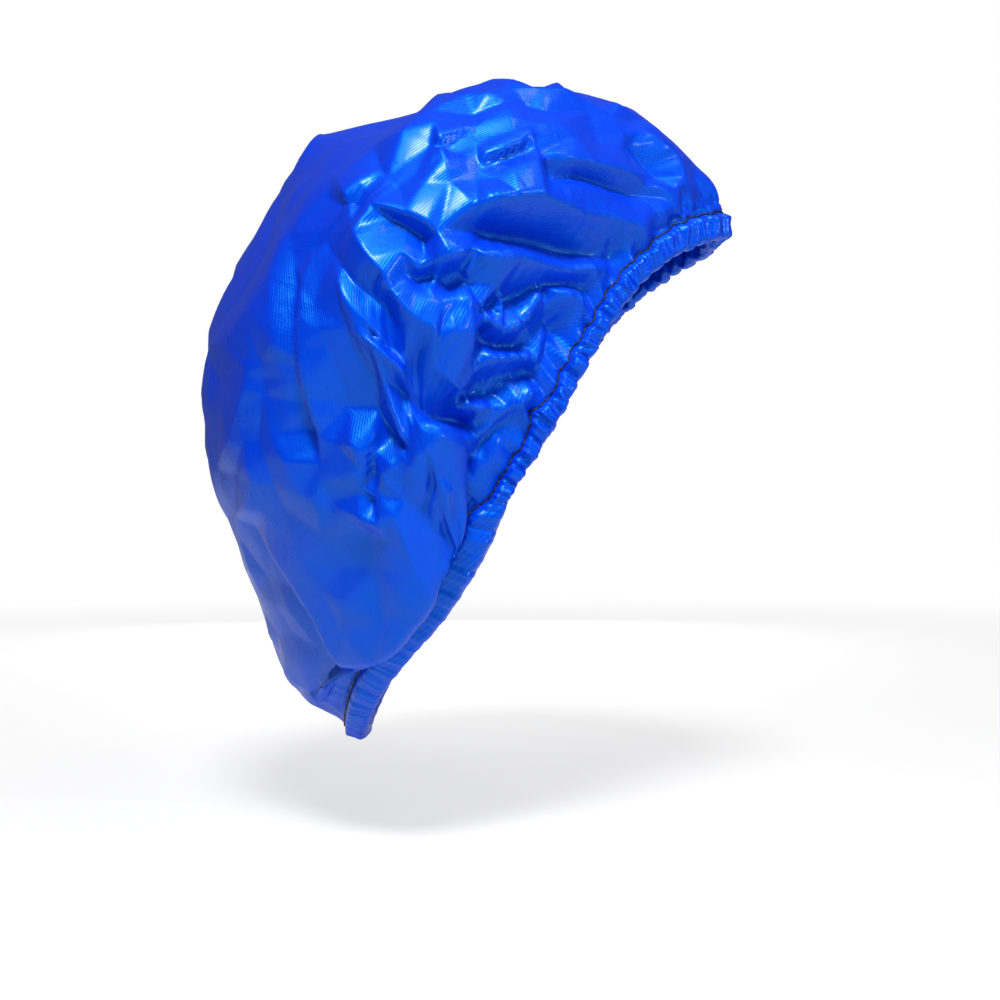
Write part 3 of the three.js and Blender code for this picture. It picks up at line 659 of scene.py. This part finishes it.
def blurred(field, cells):  # box blur three times, edges held
    width = max(1, int(cells))
    size = 2 * width + 1
    for axis in (0, 1) * 3:
        rows = field.swapaxes(0, axis)
        padded = np.concatenate([np.repeat(rows[:1], width, 0), rows, np.repeat(rows[-1:], width, 0)])
        total = np.concatenate([np.zeros_like(padded[:1]), np.cumsum(padded, 0)])
        field = ((total[size:] - total[:-size]) / size).swapaxes(0, axis)
    return field


def crownLevel(cells, cloth, rounds, stiffness, taken, hold, grain):
    share, radius = discGrid(cells)
    angle = hemAngle(share)
    up = 1 - radius
    base = tipBack(bagPlace(angle, up))
    faces = gridFaces(cells)
    normals = pointNormals(base.reshape(-1, 3), faces)
    lengths = restLengths(base, share, radius)
    shaped = base + (normals * foldRise(angle, up).reshape(-1, 1)).reshape(base.shape)
    fadeStart, fadeRun = crown["sideFade"]
    held = smooth((up - crown["holdStart"]) / crown["holdRun"])
    pull = hold * (held * (1 - crown["topLoss"] * smooth((up - fadeStart) / fadeRun)))[..., None]
    point, _, _, out = stitchFrame(angle)  # the ring on the stitches carries the ruffles
    ring = tipBack(point + out * (hem["seamOffset"] + hem["seamRuffle"] * pleats(angle, 0)[..., None]))
    rim = radius > 0.9999
    if cloth is None:
        cloth = shaped.copy()
    else:
        lengths = [(axis, offset, taken * rest + (1 - taken) * span)
                   for (axis, offset, rest), span in zip(lengths, spans(cloth))]
    away = smooth(up * crown["discRadius"] / crown["crumpleStart"])[..., None]
    away = away * crumpled(angle, up)[..., None]
    for seed, size, rise in grain:
        push = normals * crumple(base.reshape(-1, 3), seed, size, rise)[:, None]
        cloth = cloth + push.reshape(base.shape) * away
    limit = crown["creaseLimit"] * 2 * crown["discRadius"] / cells
    cloth[rim] = ring[rim]
    for number in range(rounds):
        pullApart(cloth, lengths)
        if number % crown["bendEvery"] == 0:
            bend = np.zeros_like(cloth)
            for axis in (0, 1):
                rows = cloth.swapaxes(0, axis)
                sag = (rows[:-2] + rows[2:]) / 2 - rows[1:-1]
                sag /= 1 + ((sag * sag).sum(-1, keepdims=True) / limit**2)
                bend.swapaxes(0, axis)[1:-1] += sag
            cloth += stiffness * bend
        cloth += pull * (shaped - cloth)
        if number % crown["blurEvery"] == 0:
            cloth += crown["shapePull"] * blurred(shaped - cloth, crown["blur"] * cells)
        cloth[rim] = ring[rim]
    return cloth, share, radius, faces


def finer(cloth):
    cells = cloth.shape[0] - 1
    wide = np.zeros((2 * cells + 1, cells + 1, 3))
    wide[::2] = cloth
    wide[1::2] = (cloth[:-1] + cloth[1:]) / 2
    full = np.zeros((2 * cells + 1, 2 * cells + 1, 3))
    full[:, ::2] = wide
    full[:, 1::2] = (wide[:, :-1] + wide[:, 1:]) / 2
    return full


def makeCrown():
    cloth = None
    for cells, rounds, stiffness, taken, hold, grain in crown["levels"]:
        start = None if cloth is None else finer(cloth)
        cloth, share, radius, faces = crownLevel(cells, start, rounds, stiffness, taken, hold, grain)
        print("crown settled at", cells, "cells")
    flat = np.stack([radius * np.cos(share * turn), radius * np.sin(share * turn)], -1) * crown["discRadius"]
    return meshPiece("crown_cloth", cloth.reshape(-1, 3), faces, flat.reshape(-1, 2))


crownPiece = makeCrown()


class Nodes:  # a short way to add nodes and join them
    def __init__(self, tree):
        self.tree = tree

    def add(self, kind, inputs=(), **values):
        node = self.tree.nodes.new(kind)
        for name, value in values.items():
            setattr(node, name, value)
        return self.fill(node, inputs)

    def fill(self, node, inputs):
        for socket, value in dict(inputs).items():
            self.join(value, node.inputs[socket])
        return node

    def join(self, value, socket):
        if isinstance(value, bpy.types.NodeSocket):
            self.tree.links.new(value, socket)
        else:
            socket.default_value = value

    def math(self, operation, one, two=0.0, three=0.0, clamp=False):
        node = self.add("ShaderNodeMath", {0: one, 1: two, 2: three}, operation=operation, use_clamp=clamp)
        return node.outputs[0]

    def noise(self, place, scale, detail, **more):
        return self.add("ShaderNodeTexNoise", {"Vector": place, "Scale": scale, "Detail": detail, **more})

    def bump(self, height, distance, **more):
        inputs = {"Height": height, "Distance": distance, "Strength": 1.0, **more}
        return self.add("ShaderNodeBump", inputs).outputs[0]


casing = {
    "columns": 1900, "width": 0.0097, "room": 0.0016, "elasticWidth": 0.0065, "tunnel": 0.00095,
    "pleatDepth": 0.0024, "finePleat": 0.35, "innerShare": 0.7, "edgeWave": 0.0005, "allowance": 0.003,
    "drift": 0.0035,  # how far the pleats run aslant from the stitches to the free edge
    "slantWaves": (7, 2, 5), "swell": 0.5, "fineSlide": 0.6, "lean": 0.0006, "leanRun": 0.8,
    "startRows": [(-0.0004, -0.0006), (0, -0.0001)],  # down and out, where the cloth leaves the stitches
    "outerWays": (0.15, 0.35, 0.55, 0.75), "innerWays": (0.75, 0.45, 0.15), "wayStart": 0.15, "wayRun": 0.6,
    "bow": 0.0004, "bowRun": 0.9, "lead": 1.1, "tuck": 0.0019,
    "foldLift": 0.0005, "outerFold": 0.55, "innerFold": 0.5,  # the turn at the free edge
    "flat": (1.40, 0.0224),  # metres, the strip laid flat
}


def casingSection(pleat):  # pleat(share of the way round the section): height there
    seam = hem["seamRuffle"] * pleat(0)
    outer, inner, nil = seam + hem["seamOffset"], seam - hem["seamOffset"], 0 * seam
    out, back = casing["pleatDepth"], casing["innerShare"] * casing["pleatDepth"]
    bow, lead = casing["bow"], casing["lead"]

    def drop(way):
        high, low = casing["room"], casing["room"] + casing["elasticWidth"]
        return nil + (high + (way - casing["wayStart"]) / casing["wayRun"] * (low - high))

    rows = [(nil + down, outer + aside) for down, aside in casing["startRows"]]
    for way in casing["outerWays"]:
        bowed = casing["tunnel"] + bow * math.sin(math.pi * way / casing["bowRun"])
        rows.append((drop(way), bowed + out * (lead + pleat(way))))
    bottom = casing["width"] + casing["edgeWave"] * pleat(1)
    rows += [(bottom - casing["foldLift"], casing["outerFold"] * out * (1 + pleat(1)) + bow), (bottom, nil),
             (bottom - casing["foldLift"], -casing["innerFold"] * back * (1 + pleat(1)) - bow)]
    rows += [(drop(way), -casing["tunnel"] - back * (lead - pleat(way))) for way in casing["innerWays"]]
    return rows + [(nil, inner), (nil - casing["allowance"], inner - casing["tuck"])]


def makeCasing():
    count = casing["columns"]
    angle = hemAngle(np.arange(count) / count)
    point, along, down, out = stitchFrame(angle)
    waves, swing, sway = casing["slantWaves"]
    slant = casing["drift"] * np.sin(waves * angle + swing * np.sin(sway * angle))

    def pleat(way):
        coarse = (1 - way) * pleats(angle, 0, slant * way) + way * pleats(angle, 1, -slant * (1 - way))
        fine = casing["finePleat"] * pleats(angle, 2, casing["fineSlide"] * slant * way)
        return coarse * (1 + casing["swell"] * way * (1 - way)) + fine

    section = np.array(casingSection(pleat))  # row, down or out, column
    rows = splineThrough(section.reshape(len(section), -1), 2).reshape(-1, 2, count)
    depth = np.clip(rows[:, :1] / casing["width"], 0, 1)
    rows[:, 0] -= depth[:, 0] * seamShift(angle)  # the free edge stays where it is
    lean = casing["lean"] * np.sin(math.pi * np.clip(depth * casing["leanRun"], 0, 1)) * pleats(angle, 1)
    places = point + rows[:, 0, :, None] * down + rows[:, 1, :, None] * out + lean[:, 0, :, None] * along
    total = len(rows)
    number = np.arange(total * count).reshape(total, count)
    after = np.roll(number, -1, axis=1)
    faces = np.stack([number[:-1], number[1:], after[1:], after[:-1]], -1).reshape(-1, 4)
    length, width = casing["flat"]
    pattern = np.stack(np.broadcast_arrays(np.arange(count)[None] / count * length,
                                           np.linspace(0, width, total)[:, None]), -1)
    return meshPiece("hem_casing_cloth", tipBack(places).reshape(-1, 3), faces, pattern.reshape(-1, 2))


casingPiece = makeCasing()
print("casing ruffled")

elastic = {
    "thickness": 0.0009, "lap": 0.020, "stations": 900, "ribs": 9, "ribDepth": 0.00012,
    "lapGap": 0.0003, "lapRise": 0.3,  # between the lapped ends, and the share of the lap that climbs
}


def hemPlaces(share, drop, offset):  # places beside the hem: share round, metres down, metres out
    angle = hemAngle(share)
    point, _, down, out = stitchFrame(angle)
    drop = drop * (1 - seamShift(angle) / casing["width"])
    return point + drop[..., None] * down + offset[..., None] * out


def makeElastic():
    lap = elastic["lap"] / hemRunLength
    share = np.linspace(0.5 - lap / 2, 1.5 + lap / 2, elastic["stations"])
    climb = smooth((share - (1.5 - lap)) / (elastic["lapRise"] * lap))  # the outer end lies on the inner
    climb = climb * (elastic["thickness"] + elastic["lapGap"])
    across = np.linspace(0, 1, 4 * elastic["ribs"] + 1)
    rib = elastic["ribDepth"] * (np.cos(across * turn * elastic["ribs"]) - 1) / 2
    half = elastic["thickness"] / 2
    drop = casing["room"] + across * casing["elasticWidth"]
    loop = np.concatenate([np.stack([drop, half + rib], -1), np.stack([drop, -half - rib], -1)[::-1]])
    places = np.stack([hemPlaces(share, np.full_like(share, d), o + climb) for d, o in loop])
    rows, count = places.shape[:2]
    number = np.arange(rows * count).reshape(rows, count)
    after = np.roll(number, -1, axis=0)
    faces = np.stack([number[:, :-1], number[:, 1:], after[:, 1:], after[:, :-1]], -1).reshape(-1, 4).tolist()
    faces += [number[::-1, 0].tolist(), number[:, -1].tolist()]
    pattern = np.stack(np.broadcast_arrays((share * hemRunLength)[None], loop[:, :1]), -1)
    return meshPiece("elastic_ribbed", tipBack(places).reshape(-1, 3), faces, pattern.reshape(-1, 2))


elasticPiece = makeElastic()
print("elastic threaded")

thread = {
    "stitches": 230, "radius": 0.00034, "arch": 0.00018, "sink": 0.0003, "points": 7,
    "span": (0.02, 0.98), "dipRun": 0.12,  # shares of a stitch: where it shows, and its dip into the cloth
    "rest": 0.00025, "sides": 8,  # metres off the cloth's middle; sides of the round thread
    "zigzags": 18, "zigzagWidth": 0.0034, "zigzagRadius": 0.0002,
    "zigzagSpan": (0.1, 0.8),  # where it starts on the lap and how far it runs, as shares of the lap
}


def stitchTree():  # a round thread along each line, thinner where it goes into the cloth
    tree = bpy.data.node_groups.new("stitches", "GeometryNodeTree")
    for label, kind, way in (
            ("Geometry", "Geometry", "INPUT"), ("Thread Radius", "Float", "INPUT"), ("Sides", "Int", "INPUT"),
            ("Material", "Material", "INPUT"), ("Geometry", "Geometry", "OUTPUT")):
        tree.interface.new_socket(label, in_out=way, socket_type="NodeSocket" + kind)
    nodes = Nodes(tree)
    given, result = nodes.add("NodeGroupInput"), nodes.add("NodeGroupOutput")
    lines = nodes.add("GeometryNodeMeshToCurve", {0: given.outputs["Geometry"]})
    factor = nodes.add("GeometryNodeSplineParameter").outputs["Factor"]
    middle = nodes.math("MULTIPLY", nodes.math("MULTIPLY", factor, nodes.math("SUBTRACT", 1.0, factor)), 4.0)
    swell = nodes.math("MULTIPLY_ADD", nodes.math("POWER", middle, 0.5), 0.5, 0.5)
    sized = nodes.add("GeometryNodeSetCurveRadius", {"Curve": lines.outputs[0], "Radius": swell})
    ring = nodes.add("GeometryNodeCurvePrimitiveCircle", {"Resolution": given.outputs["Sides"],
                                                          "Radius": given.outputs["Thread Radius"]})
    tube = nodes.add("GeometryNodeCurveToMesh", {"Curve": sized.outputs[0], "Profile Curve": ring.outputs[0],
                                                 "Fill Caps": True})
    if "Scale" in tube.inputs:
        nodes.join(swell, tube.inputs["Scale"])
    shaded = nodes.add("GeometryNodeSetShadeSmooth", {0: tube.outputs[0]})
    real = nodes.add("GeometryNodeRealizeInstances", {0: shaded.outputs[0]})
    painted = nodes.add("GeometryNodeSetMaterial", {"Geometry": real.outputs[0],
                                                    "Material": given.outputs["Material"]})
    nodes.join(painted.outputs[0], result.inputs[0])
    return tree


def threadPiece(name, lines, radius, material):
    count, points = lines.shape[:2]
    mesh = bpy.data.meshes.new(name + "_lines")
    number = np.arange(count * points).reshape(count, points)
    edges = np.stack([number[:, :-1], number[:, 1:]], -1).reshape(-1, 2)
    mesh.from_pydata([tuple(p) for p in tipBack(lines).reshape(-1, 3)], edges.tolist(), [])
    guide = bpy.data.objects.new(name + "_lines", mesh)
    scene.collection.objects.link(guide)
    modifier = guide.modifiers.new("stitches", "NODES")
    modifier.node_group = stitches
    values = {"Thread Radius": radius, "Sides": thread["sides"], "Material": material}
    for item in stitches.interface.items_tree:
        if item.item_type == "SOCKET" and item.in_out == "INPUT" and item.name in values:
            modifier[item.identifier] = values[item.name]
    bpy.context.view_layer.update()
    made = bpy.data.meshes.new_from_object(guide.evaluated_get(bpy.context.evaluated_depsgraph_get()))
    bpy.data.objects.remove(guide)
    made.name = name
    piece = bpy.data.objects.new(name, made)
    scene.collection.objects.link(piece)
    return piece


def stitchLines(side):  # one arched line for each stitch, between needle holes
    count, points = thread["stitches"], thread["points"]
    share = (np.arange(count)[:, None] + np.linspace(*thread["span"], points)) / count
    angle = hemAngle(share)
    way = np.linspace(0, 1, points)[None]
    dip = 1 - smooth(np.minimum(way, 1 - way) / thread["dipRun"])
    lift = thread["arch"] * 4 * way * (1 - way) - thread["sink"] * dip
    rest = side * (hem["seamOffset"] + thread["rest"] + thread["radius"] + lift)
    return hemPlaces(share, np.zeros_like(share), rest + hem["seamRuffle"] * pleats(angle, 0))


def zigzagLines():  # joins the elastic's lapped ends
    count = thread["zigzags"]
    lap = elastic["lap"] / hemRunLength
    start, run = thread["zigzagSpan"]
    ends = 0.5 - lap / 2 + lap * (start + run * np.arange(count + 1) / count)
    middle = casing["room"] + casing["elasticWidth"] / 2
    offset = elastic["thickness"] * 1.5 + elastic["lapGap"] + thread["zigzagRadius"]
    way = np.linspace(0, 1, thread["points"])[None]
    share = ends[:-1, None] + (ends[1:] - ends[:-1])[:, None] * way
    swing = thread["zigzagWidth"] / 2 * np.where(np.arange(count) % 2, 1, -1)[:, None] * (1 - 2 * way)
    return hemPlaces(share, middle + swing, np.full_like(share, offset))


clothLook = {
    "blue": (0.0, 0.026, 0.58), "inside": (0.0, 0.03, 0.46), "ribPitch": 0.00130, "ribDepth": 0.00006,
    "ribAngle": 84, "roughness": 0.47, "specular": 0.85, "gloss": (0.0, 0.8, 0.9),
    "coat": 0.22, "coatRoughness": 0.18, "coatIor": 1.4, "coatRib": 1.1, "coatBase": 0.45,
    "ribTone": 0.12, "patchTone": 0.25, "leastTone": 0.82, "patchRough": 0.2, "insideRough": 0.3,
    "crownCrinkle": 0.012, "hemCrinkle": 0.007, "crinkleDepth": 0.0002,
}
twillLook = {"bendScale": 90.0, "bend": 0.2, "yarnPitch": 0.8, "ribHeight": 0.4, "yarnHeight": 0.1}
crinkleLook = {
    "roughness": 0.55, "distortion": 0.6, "sharpness": 7.0, "power": 3.0, "height": 0.3, "patchScale": 0.3,
}


def newMaterial(name):
    material = bpy.data.materials.new(name)
    material.use_nodes = True
    tree = material.node_tree
    tree.nodes.clear()
    nodes = Nodes(tree)
    shader = nodes.add("ShaderNodeBsdfPrincipled")
    nodes.add("ShaderNodeOutputMaterial", {"Surface": shader.outputs["BSDF"]})
    return material, nodes, shader


def newGroup(name, inputs, outputs):
    tree = bpy.data.node_groups.new(name, "ShaderNodeTree")
    for label, kind, value in inputs:
        socket = tree.interface.new_socket(label, in_out="INPUT", socket_type=kind)
        if value is not None:
            socket.default_value = value
    for label, kind in outputs:
        tree.interface.new_socket(label, in_out="OUTPUT", socket_type=kind)
    nodes = Nodes(tree)
    return tree, nodes, nodes.add("NodeGroupInput"), nodes.add("NodeGroupOutput")


def twillGroup():  # slanted ribs of the weave showing through the coating
    tree, nodes, given, result = newGroup("twillRibs", [
        ("Pattern", "NodeSocketVector", None), ("Pitch", "NodeSocketFloat", 0.001),
        ("Angle", "NodeSocketFloat", 0.9)], [("Height", "NodeSocketFloat"), ("Rib", "NodeSocketFloat")])
    pattern, pitch = given.outputs["Pattern"], given.outputs["Pitch"]
    turned = nodes.add("ShaderNodeVectorRotate", {"Vector": pattern, "Angle": given.outputs["Angle"]},
                       rotation_type="Z_AXIS")
    parts = nodes.add("ShaderNodeSeparateXYZ", {0: turned.outputs[0]})
    waver = nodes.noise(pattern, twillLook["bendScale"], 1.0).outputs[0]
    bend = nodes.math("MULTIPLY", waver, twillLook["bend"])
    across = nodes.math("ADD", nodes.math("DIVIDE", parts.outputs["X"], pitch), bend)
    rib = nodes.math("SINE", nodes.math("MULTIPLY", across, turn))
    along = nodes.math("DIVIDE", parts.outputs["Y"], pitch)
    yarn = nodes.math("SINE", nodes.math("MULTIPLY", along, twillLook["yarnPitch"] * turn))
    nodes.fill(result, {
        "Height": nodes.math("ADD", nodes.math("MULTIPLY", rib, twillLook["ribHeight"]),
                             nodes.math("MULTIPLY", yarn, twillLook["yarnHeight"])),
        "Rib": nodes.math("MULTIPLY_ADD", rib, 0.5, 0.5)})
    return tree


def crinkleGroup():  # fine creases pressed in by packing and handling
    tree, nodes, given, result = newGroup("crinkles", [
        ("Place", "NodeSocketVector", None), ("Size", "NodeSocketFloat", 0.01)],
        [("Height", "NodeSocketFloat"), ("Patches", "NodeSocketFloat")])
    place, look = given.outputs["Place"], crinkleLook
    scale = nodes.math("DIVIDE", 1.0, given.outputs["Size"])
    soft = nodes.noise(place, scale, 3.0, Roughness=look["roughness"], Distortion=look["distortion"])
    fold = nodes.math("ABSOLUTE", nodes.math("SUBTRACT", soft.outputs[0], 0.5))
    crease = nodes.math("SUBTRACT", 1.0, nodes.math("MULTIPLY", fold, look["sharpness"]), clamp=True)
    crest = nodes.math("MULTIPLY", nodes.math("POWER", crease, look["power"]), look["height"])
    broad = nodes.noise(place, nodes.math("MULTIPLY", scale, look["patchScale"]), 2.0)
    nodes.fill(result, {"Height": nodes.math("ADD", crest, soft.outputs[0]), "Patches": broad.outputs[0]})
    return tree


twill, crinkles = twillGroup(), crinkleGroup()


def coatedCloth(name, crinkleSize):
    material, nodes, shader = newMaterial(name)
    look = clothLook
    pattern = nodes.add("ShaderNodeUVMap", uv_map="pattern").outputs["UV"]
    place = nodes.add("ShaderNodeTexCoord").outputs["Object"]
    ribs = nodes.fill(nodes.add("ShaderNodeGroup", node_tree=twill), {
        "Pattern": pattern, "Pitch": look["ribPitch"], "Angle": math.radians(look["ribAngle"])})
    creases = nodes.fill(nodes.add("ShaderNodeGroup", node_tree=crinkles), {
        "Place": place, "Size": crinkleSize})
    rib, patches = ribs.outputs["Rib"], creases.outputs["Patches"]
    ribNormal = nodes.bump(ribs.outputs["Height"], look["ribDepth"])
    isBack = nodes.add("ShaderNodeNewGeometry").outputs["Backfacing"]
    face = nodes.add("ShaderNodeMix", {0: isBack}, data_type="RGBA")
    nodes.fill(face, {6: (*look["blue"], 1), 7: (*look["inside"], 1)})
    value = nodes.math("ADD", nodes.math("MULTIPLY", rib, look["ribTone"]),
                       nodes.math("MULTIPLY_ADD", patches, look["patchTone"], look["leastTone"]))
    tone = nodes.add("ShaderNodeHueSaturation", {"Color": face.outputs[2], "Value": value})
    spread = look["patchRough"]
    rough = nodes.math("MULTIPLY_ADD", patches, spread, look["roughness"] - spread / 2)
    nodes.fill(shader, {
        "Normal": nodes.bump(creases.outputs["Height"], look["crinkleDepth"], Normal=ribNormal),
        "Base Color": tone.outputs[0],
        "Roughness": nodes.math("ADD", rough, nodes.math("MULTIPLY", isBack, look["insideRough"])),
        "Specular IOR Level": look["specular"], "Specular Tint": (*look["gloss"], 1),
        "Coat Roughness": look["coatRoughness"], "Coat IOR": look["coatIor"],
        "Coat Weight": nodes.math("MULTIPLY_ADD", rib, look["coatRib"] * look["coat"],
                                  look["coatBase"] * look["coat"])})
    return material


crownPiece.data.materials.append(coatedCloth("coatedCloth", clothLook["crownCrinkle"]))
casingPiece.data.materials.append(coatedCloth("turnedCloth", clothLook["hemCrinkle"]))

threadLook = {
    "black": (0.003, 0.003, 0.006), "white": (0.75, 0.74, 0.7), "roughness": 0.55, "pitch": 0.0006,
    "bands": "DIAGONAL", "wander": 1.5, "fuzz": 900.0, "fuzzDetail": 3.0, "depth": 0.00006,
    "tone": (0.8, 0.6),
}
elasticLook = {
    "white": (0.72, 0.71, 0.68), "roughness": 0.8, "pitch": 0.0008,
    "bands": "X", "wander": 2.0, "fuzz": 700.0, "fuzzDetail": 2.0, "depth": 0.0001, "tone": (0.25, 0.8),
}
yarnRough = 0.2  # spread of the roughness
bandsPerTurn = 20  # a wave texture at scale 1 has a band every turn / 20 metres


def yarnFinish(name, colour, look, onPattern):  # yarns twisted together, or braided along the pattern
    material, nodes, shader = newMaterial(name)
    if onPattern:
        place = nodes.add("ShaderNodeUVMap", uv_map="pattern").outputs["UV"]
    else:
        place = nodes.add("ShaderNodeTexCoord").outputs["Object"]
    yarns = nodes.add("ShaderNodeTexWave", {
        "Vector": place, "Scale": turn / (bandsPerTurn * look["pitch"]), "Distortion": look["wander"],
        "Detail": 2.0}, bands_direction=look["bands"])
    fuzz = nodes.noise(place, look["fuzz"], look["fuzzDetail"]).outputs[0]
    shade = nodes.math("MULTIPLY_ADD", yarns.outputs[1] if onPattern else fuzz, *look["tone"])
    tone = nodes.add("ShaderNodeHueSaturation", {"Color": (*colour, 1), "Value": shade})
    nodes.fill(shader, {
        "Base Color": tone.outputs[0], "Normal": nodes.bump(yarns.outputs[1], look["depth"]),
        "Roughness": nodes.math("MULTIPLY_ADD", fuzz, yarnRough, look["roughness"] - yarnRough / 2)})
    return material


elasticPiece.data.materials.append(yarnFinish("braidedElastic", elasticLook["white"], elasticLook, True))
stitches = stitchTree()
blackThread = yarnFinish("blackThread", threadLook["black"], threadLook, False)
whiteThread = yarnFinish("whiteThread", threadLook["white"], threadLook, False)
needlePiece = threadPiece("hem_needle_stitches", stitchLines(1), thread["radius"], blackThread)
bobbinPiece = threadPiece("hem_bobbin_stitches", stitchLines(-1), thread["radius"], blackThread)
joinPiece = threadPiece("elastic_zigzag", zigzagLines(), thread["zigzagRadius"], whiteThread)
print("threads sewn")

stage = {
    "floorHeight": -0.14, "floorReach": 4, "floorTone": 0.9, "floorFade": (0.2, 1.4, 0.6, 1.0),
    "world": 0.04, "glossShare": 0.1,  # glossShare: the pale surround as the cloth mirrors it
    "aim": (-0.03, 0, 0.02),
    "lamps": [  # name, place, watts, size
        ("keyLamp", (-0.08, -0.75, 0.95), 17.5, 0.28),
        ("topLamp", (0.4, -0.35, 0.9), 1.5, 0.2),
        ("rightLamp", (0.85, -0.65, 0.3), 3, 0.18),
        ("backLamp", (-0.1, 1.0, 0.1), 7, 0.25),
    ],
}


def seenDirectly(nodes):  # 1 for what the camera sees, straight or in a gloss
    paths = nodes.add("ShaderNodeLightPath")
    glossy = nodes.math("MULTIPLY", paths.outputs["Is Glossy Ray"], stage["glossShare"])
    seen = nodes.math("MAXIMUM", paths.outputs["Is Camera Ray"], glossy)
    return nodes.math("MAXIMUM", seen, paths.outputs["Is Transmission Ray"])


def makeStage():
    world = bpy.data.worlds.new("studio")
    scene.world = world
    world.use_nodes = True
    world.node_tree.nodes.clear()
    nodes = Nodes(world.node_tree)
    strength = nodes.math("MULTIPLY_ADD", seenDirectly(nodes), 1 - stage["world"], stage["world"])
    background = nodes.add("ShaderNodeBackground", {"Color": (1, 1, 1, 1), "Strength": strength})
    nodes.add("ShaderNodeOutputWorld", {"Surface": background.outputs[0]})
    for name, place, power, size in stage["lamps"]:
        data = bpy.data.lights.new(name, "AREA")
        data.energy, data.size = power, size
        lamp = bpy.data.objects.new(name, data)
        lamp.location = place
        lamp.rotation_euler = (Vector(stage["aim"]) - Vector(place)).to_track_quat("-Z", "Y").to_euler()
        scene.collection.objects.link(lamp)
    far, height, pale = stage["floorReach"], stage["floorHeight"], stage["floorTone"]
    corners = [(x * far, y * far, height) for x, y in ((-1, -1), (1, -1), (1, 1), (-1, 1))]
    floor = meshPiece("floor", corners, [(0, 1, 2, 3)])
    material, nodes, shader = newMaterial("paleFloor")
    nodes.fill(shader, {"Base Color": (pale, pale, pale, 1), "Roughness": pale})
    place = nodes.add("ShaderNodeTexCoord").outputs["Object"]
    reach = nodes.add("ShaderNodeVectorMath", {0: place}, operation="LENGTH")
    ends = dict(zip(("From Min", "From Max", "To Min", "To Max"), stage["floorFade"]))
    fade = nodes.add("ShaderNodeMapRange", {"Value": reach.outputs["Value"], **ends})
    share = nodes.math("MULTIPLY", fade.outputs["Result"], seenDirectly(nodes))
    mixed = nodes.add("ShaderNodeMixShader", {0: share, 1: shader.outputs["BSDF"],
                                              2: nodes.add("ShaderNodeEmission").outputs[0]})
    output = next(node for node in nodes.tree.nodes if node.type == "OUTPUT_MATERIAL")
    nodes.join(mixed.outputs[0], output.inputs["Surface"])
    floor.data.materials.append(material)


makeStage()
print("stage set")
scene.view_settings.view_transform = "Standard"

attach(crownPiece, "root")
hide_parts("crown_panel")
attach(casingPiece, "root")
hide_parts("hem_casing")
for piece, slot, node in ((elasticPiece, "elastic", "elastic_band"),
                          (joinPiece, "join_thread", "elastic_join_stitch"),
                          (needlePiece, "black_thread", "hem_needle_thread"),
                          (bobbinPiece, "black_thread", "hem_bobbin_thread")):
    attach(piece, "root")
    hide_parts(node)
print("scene finished")
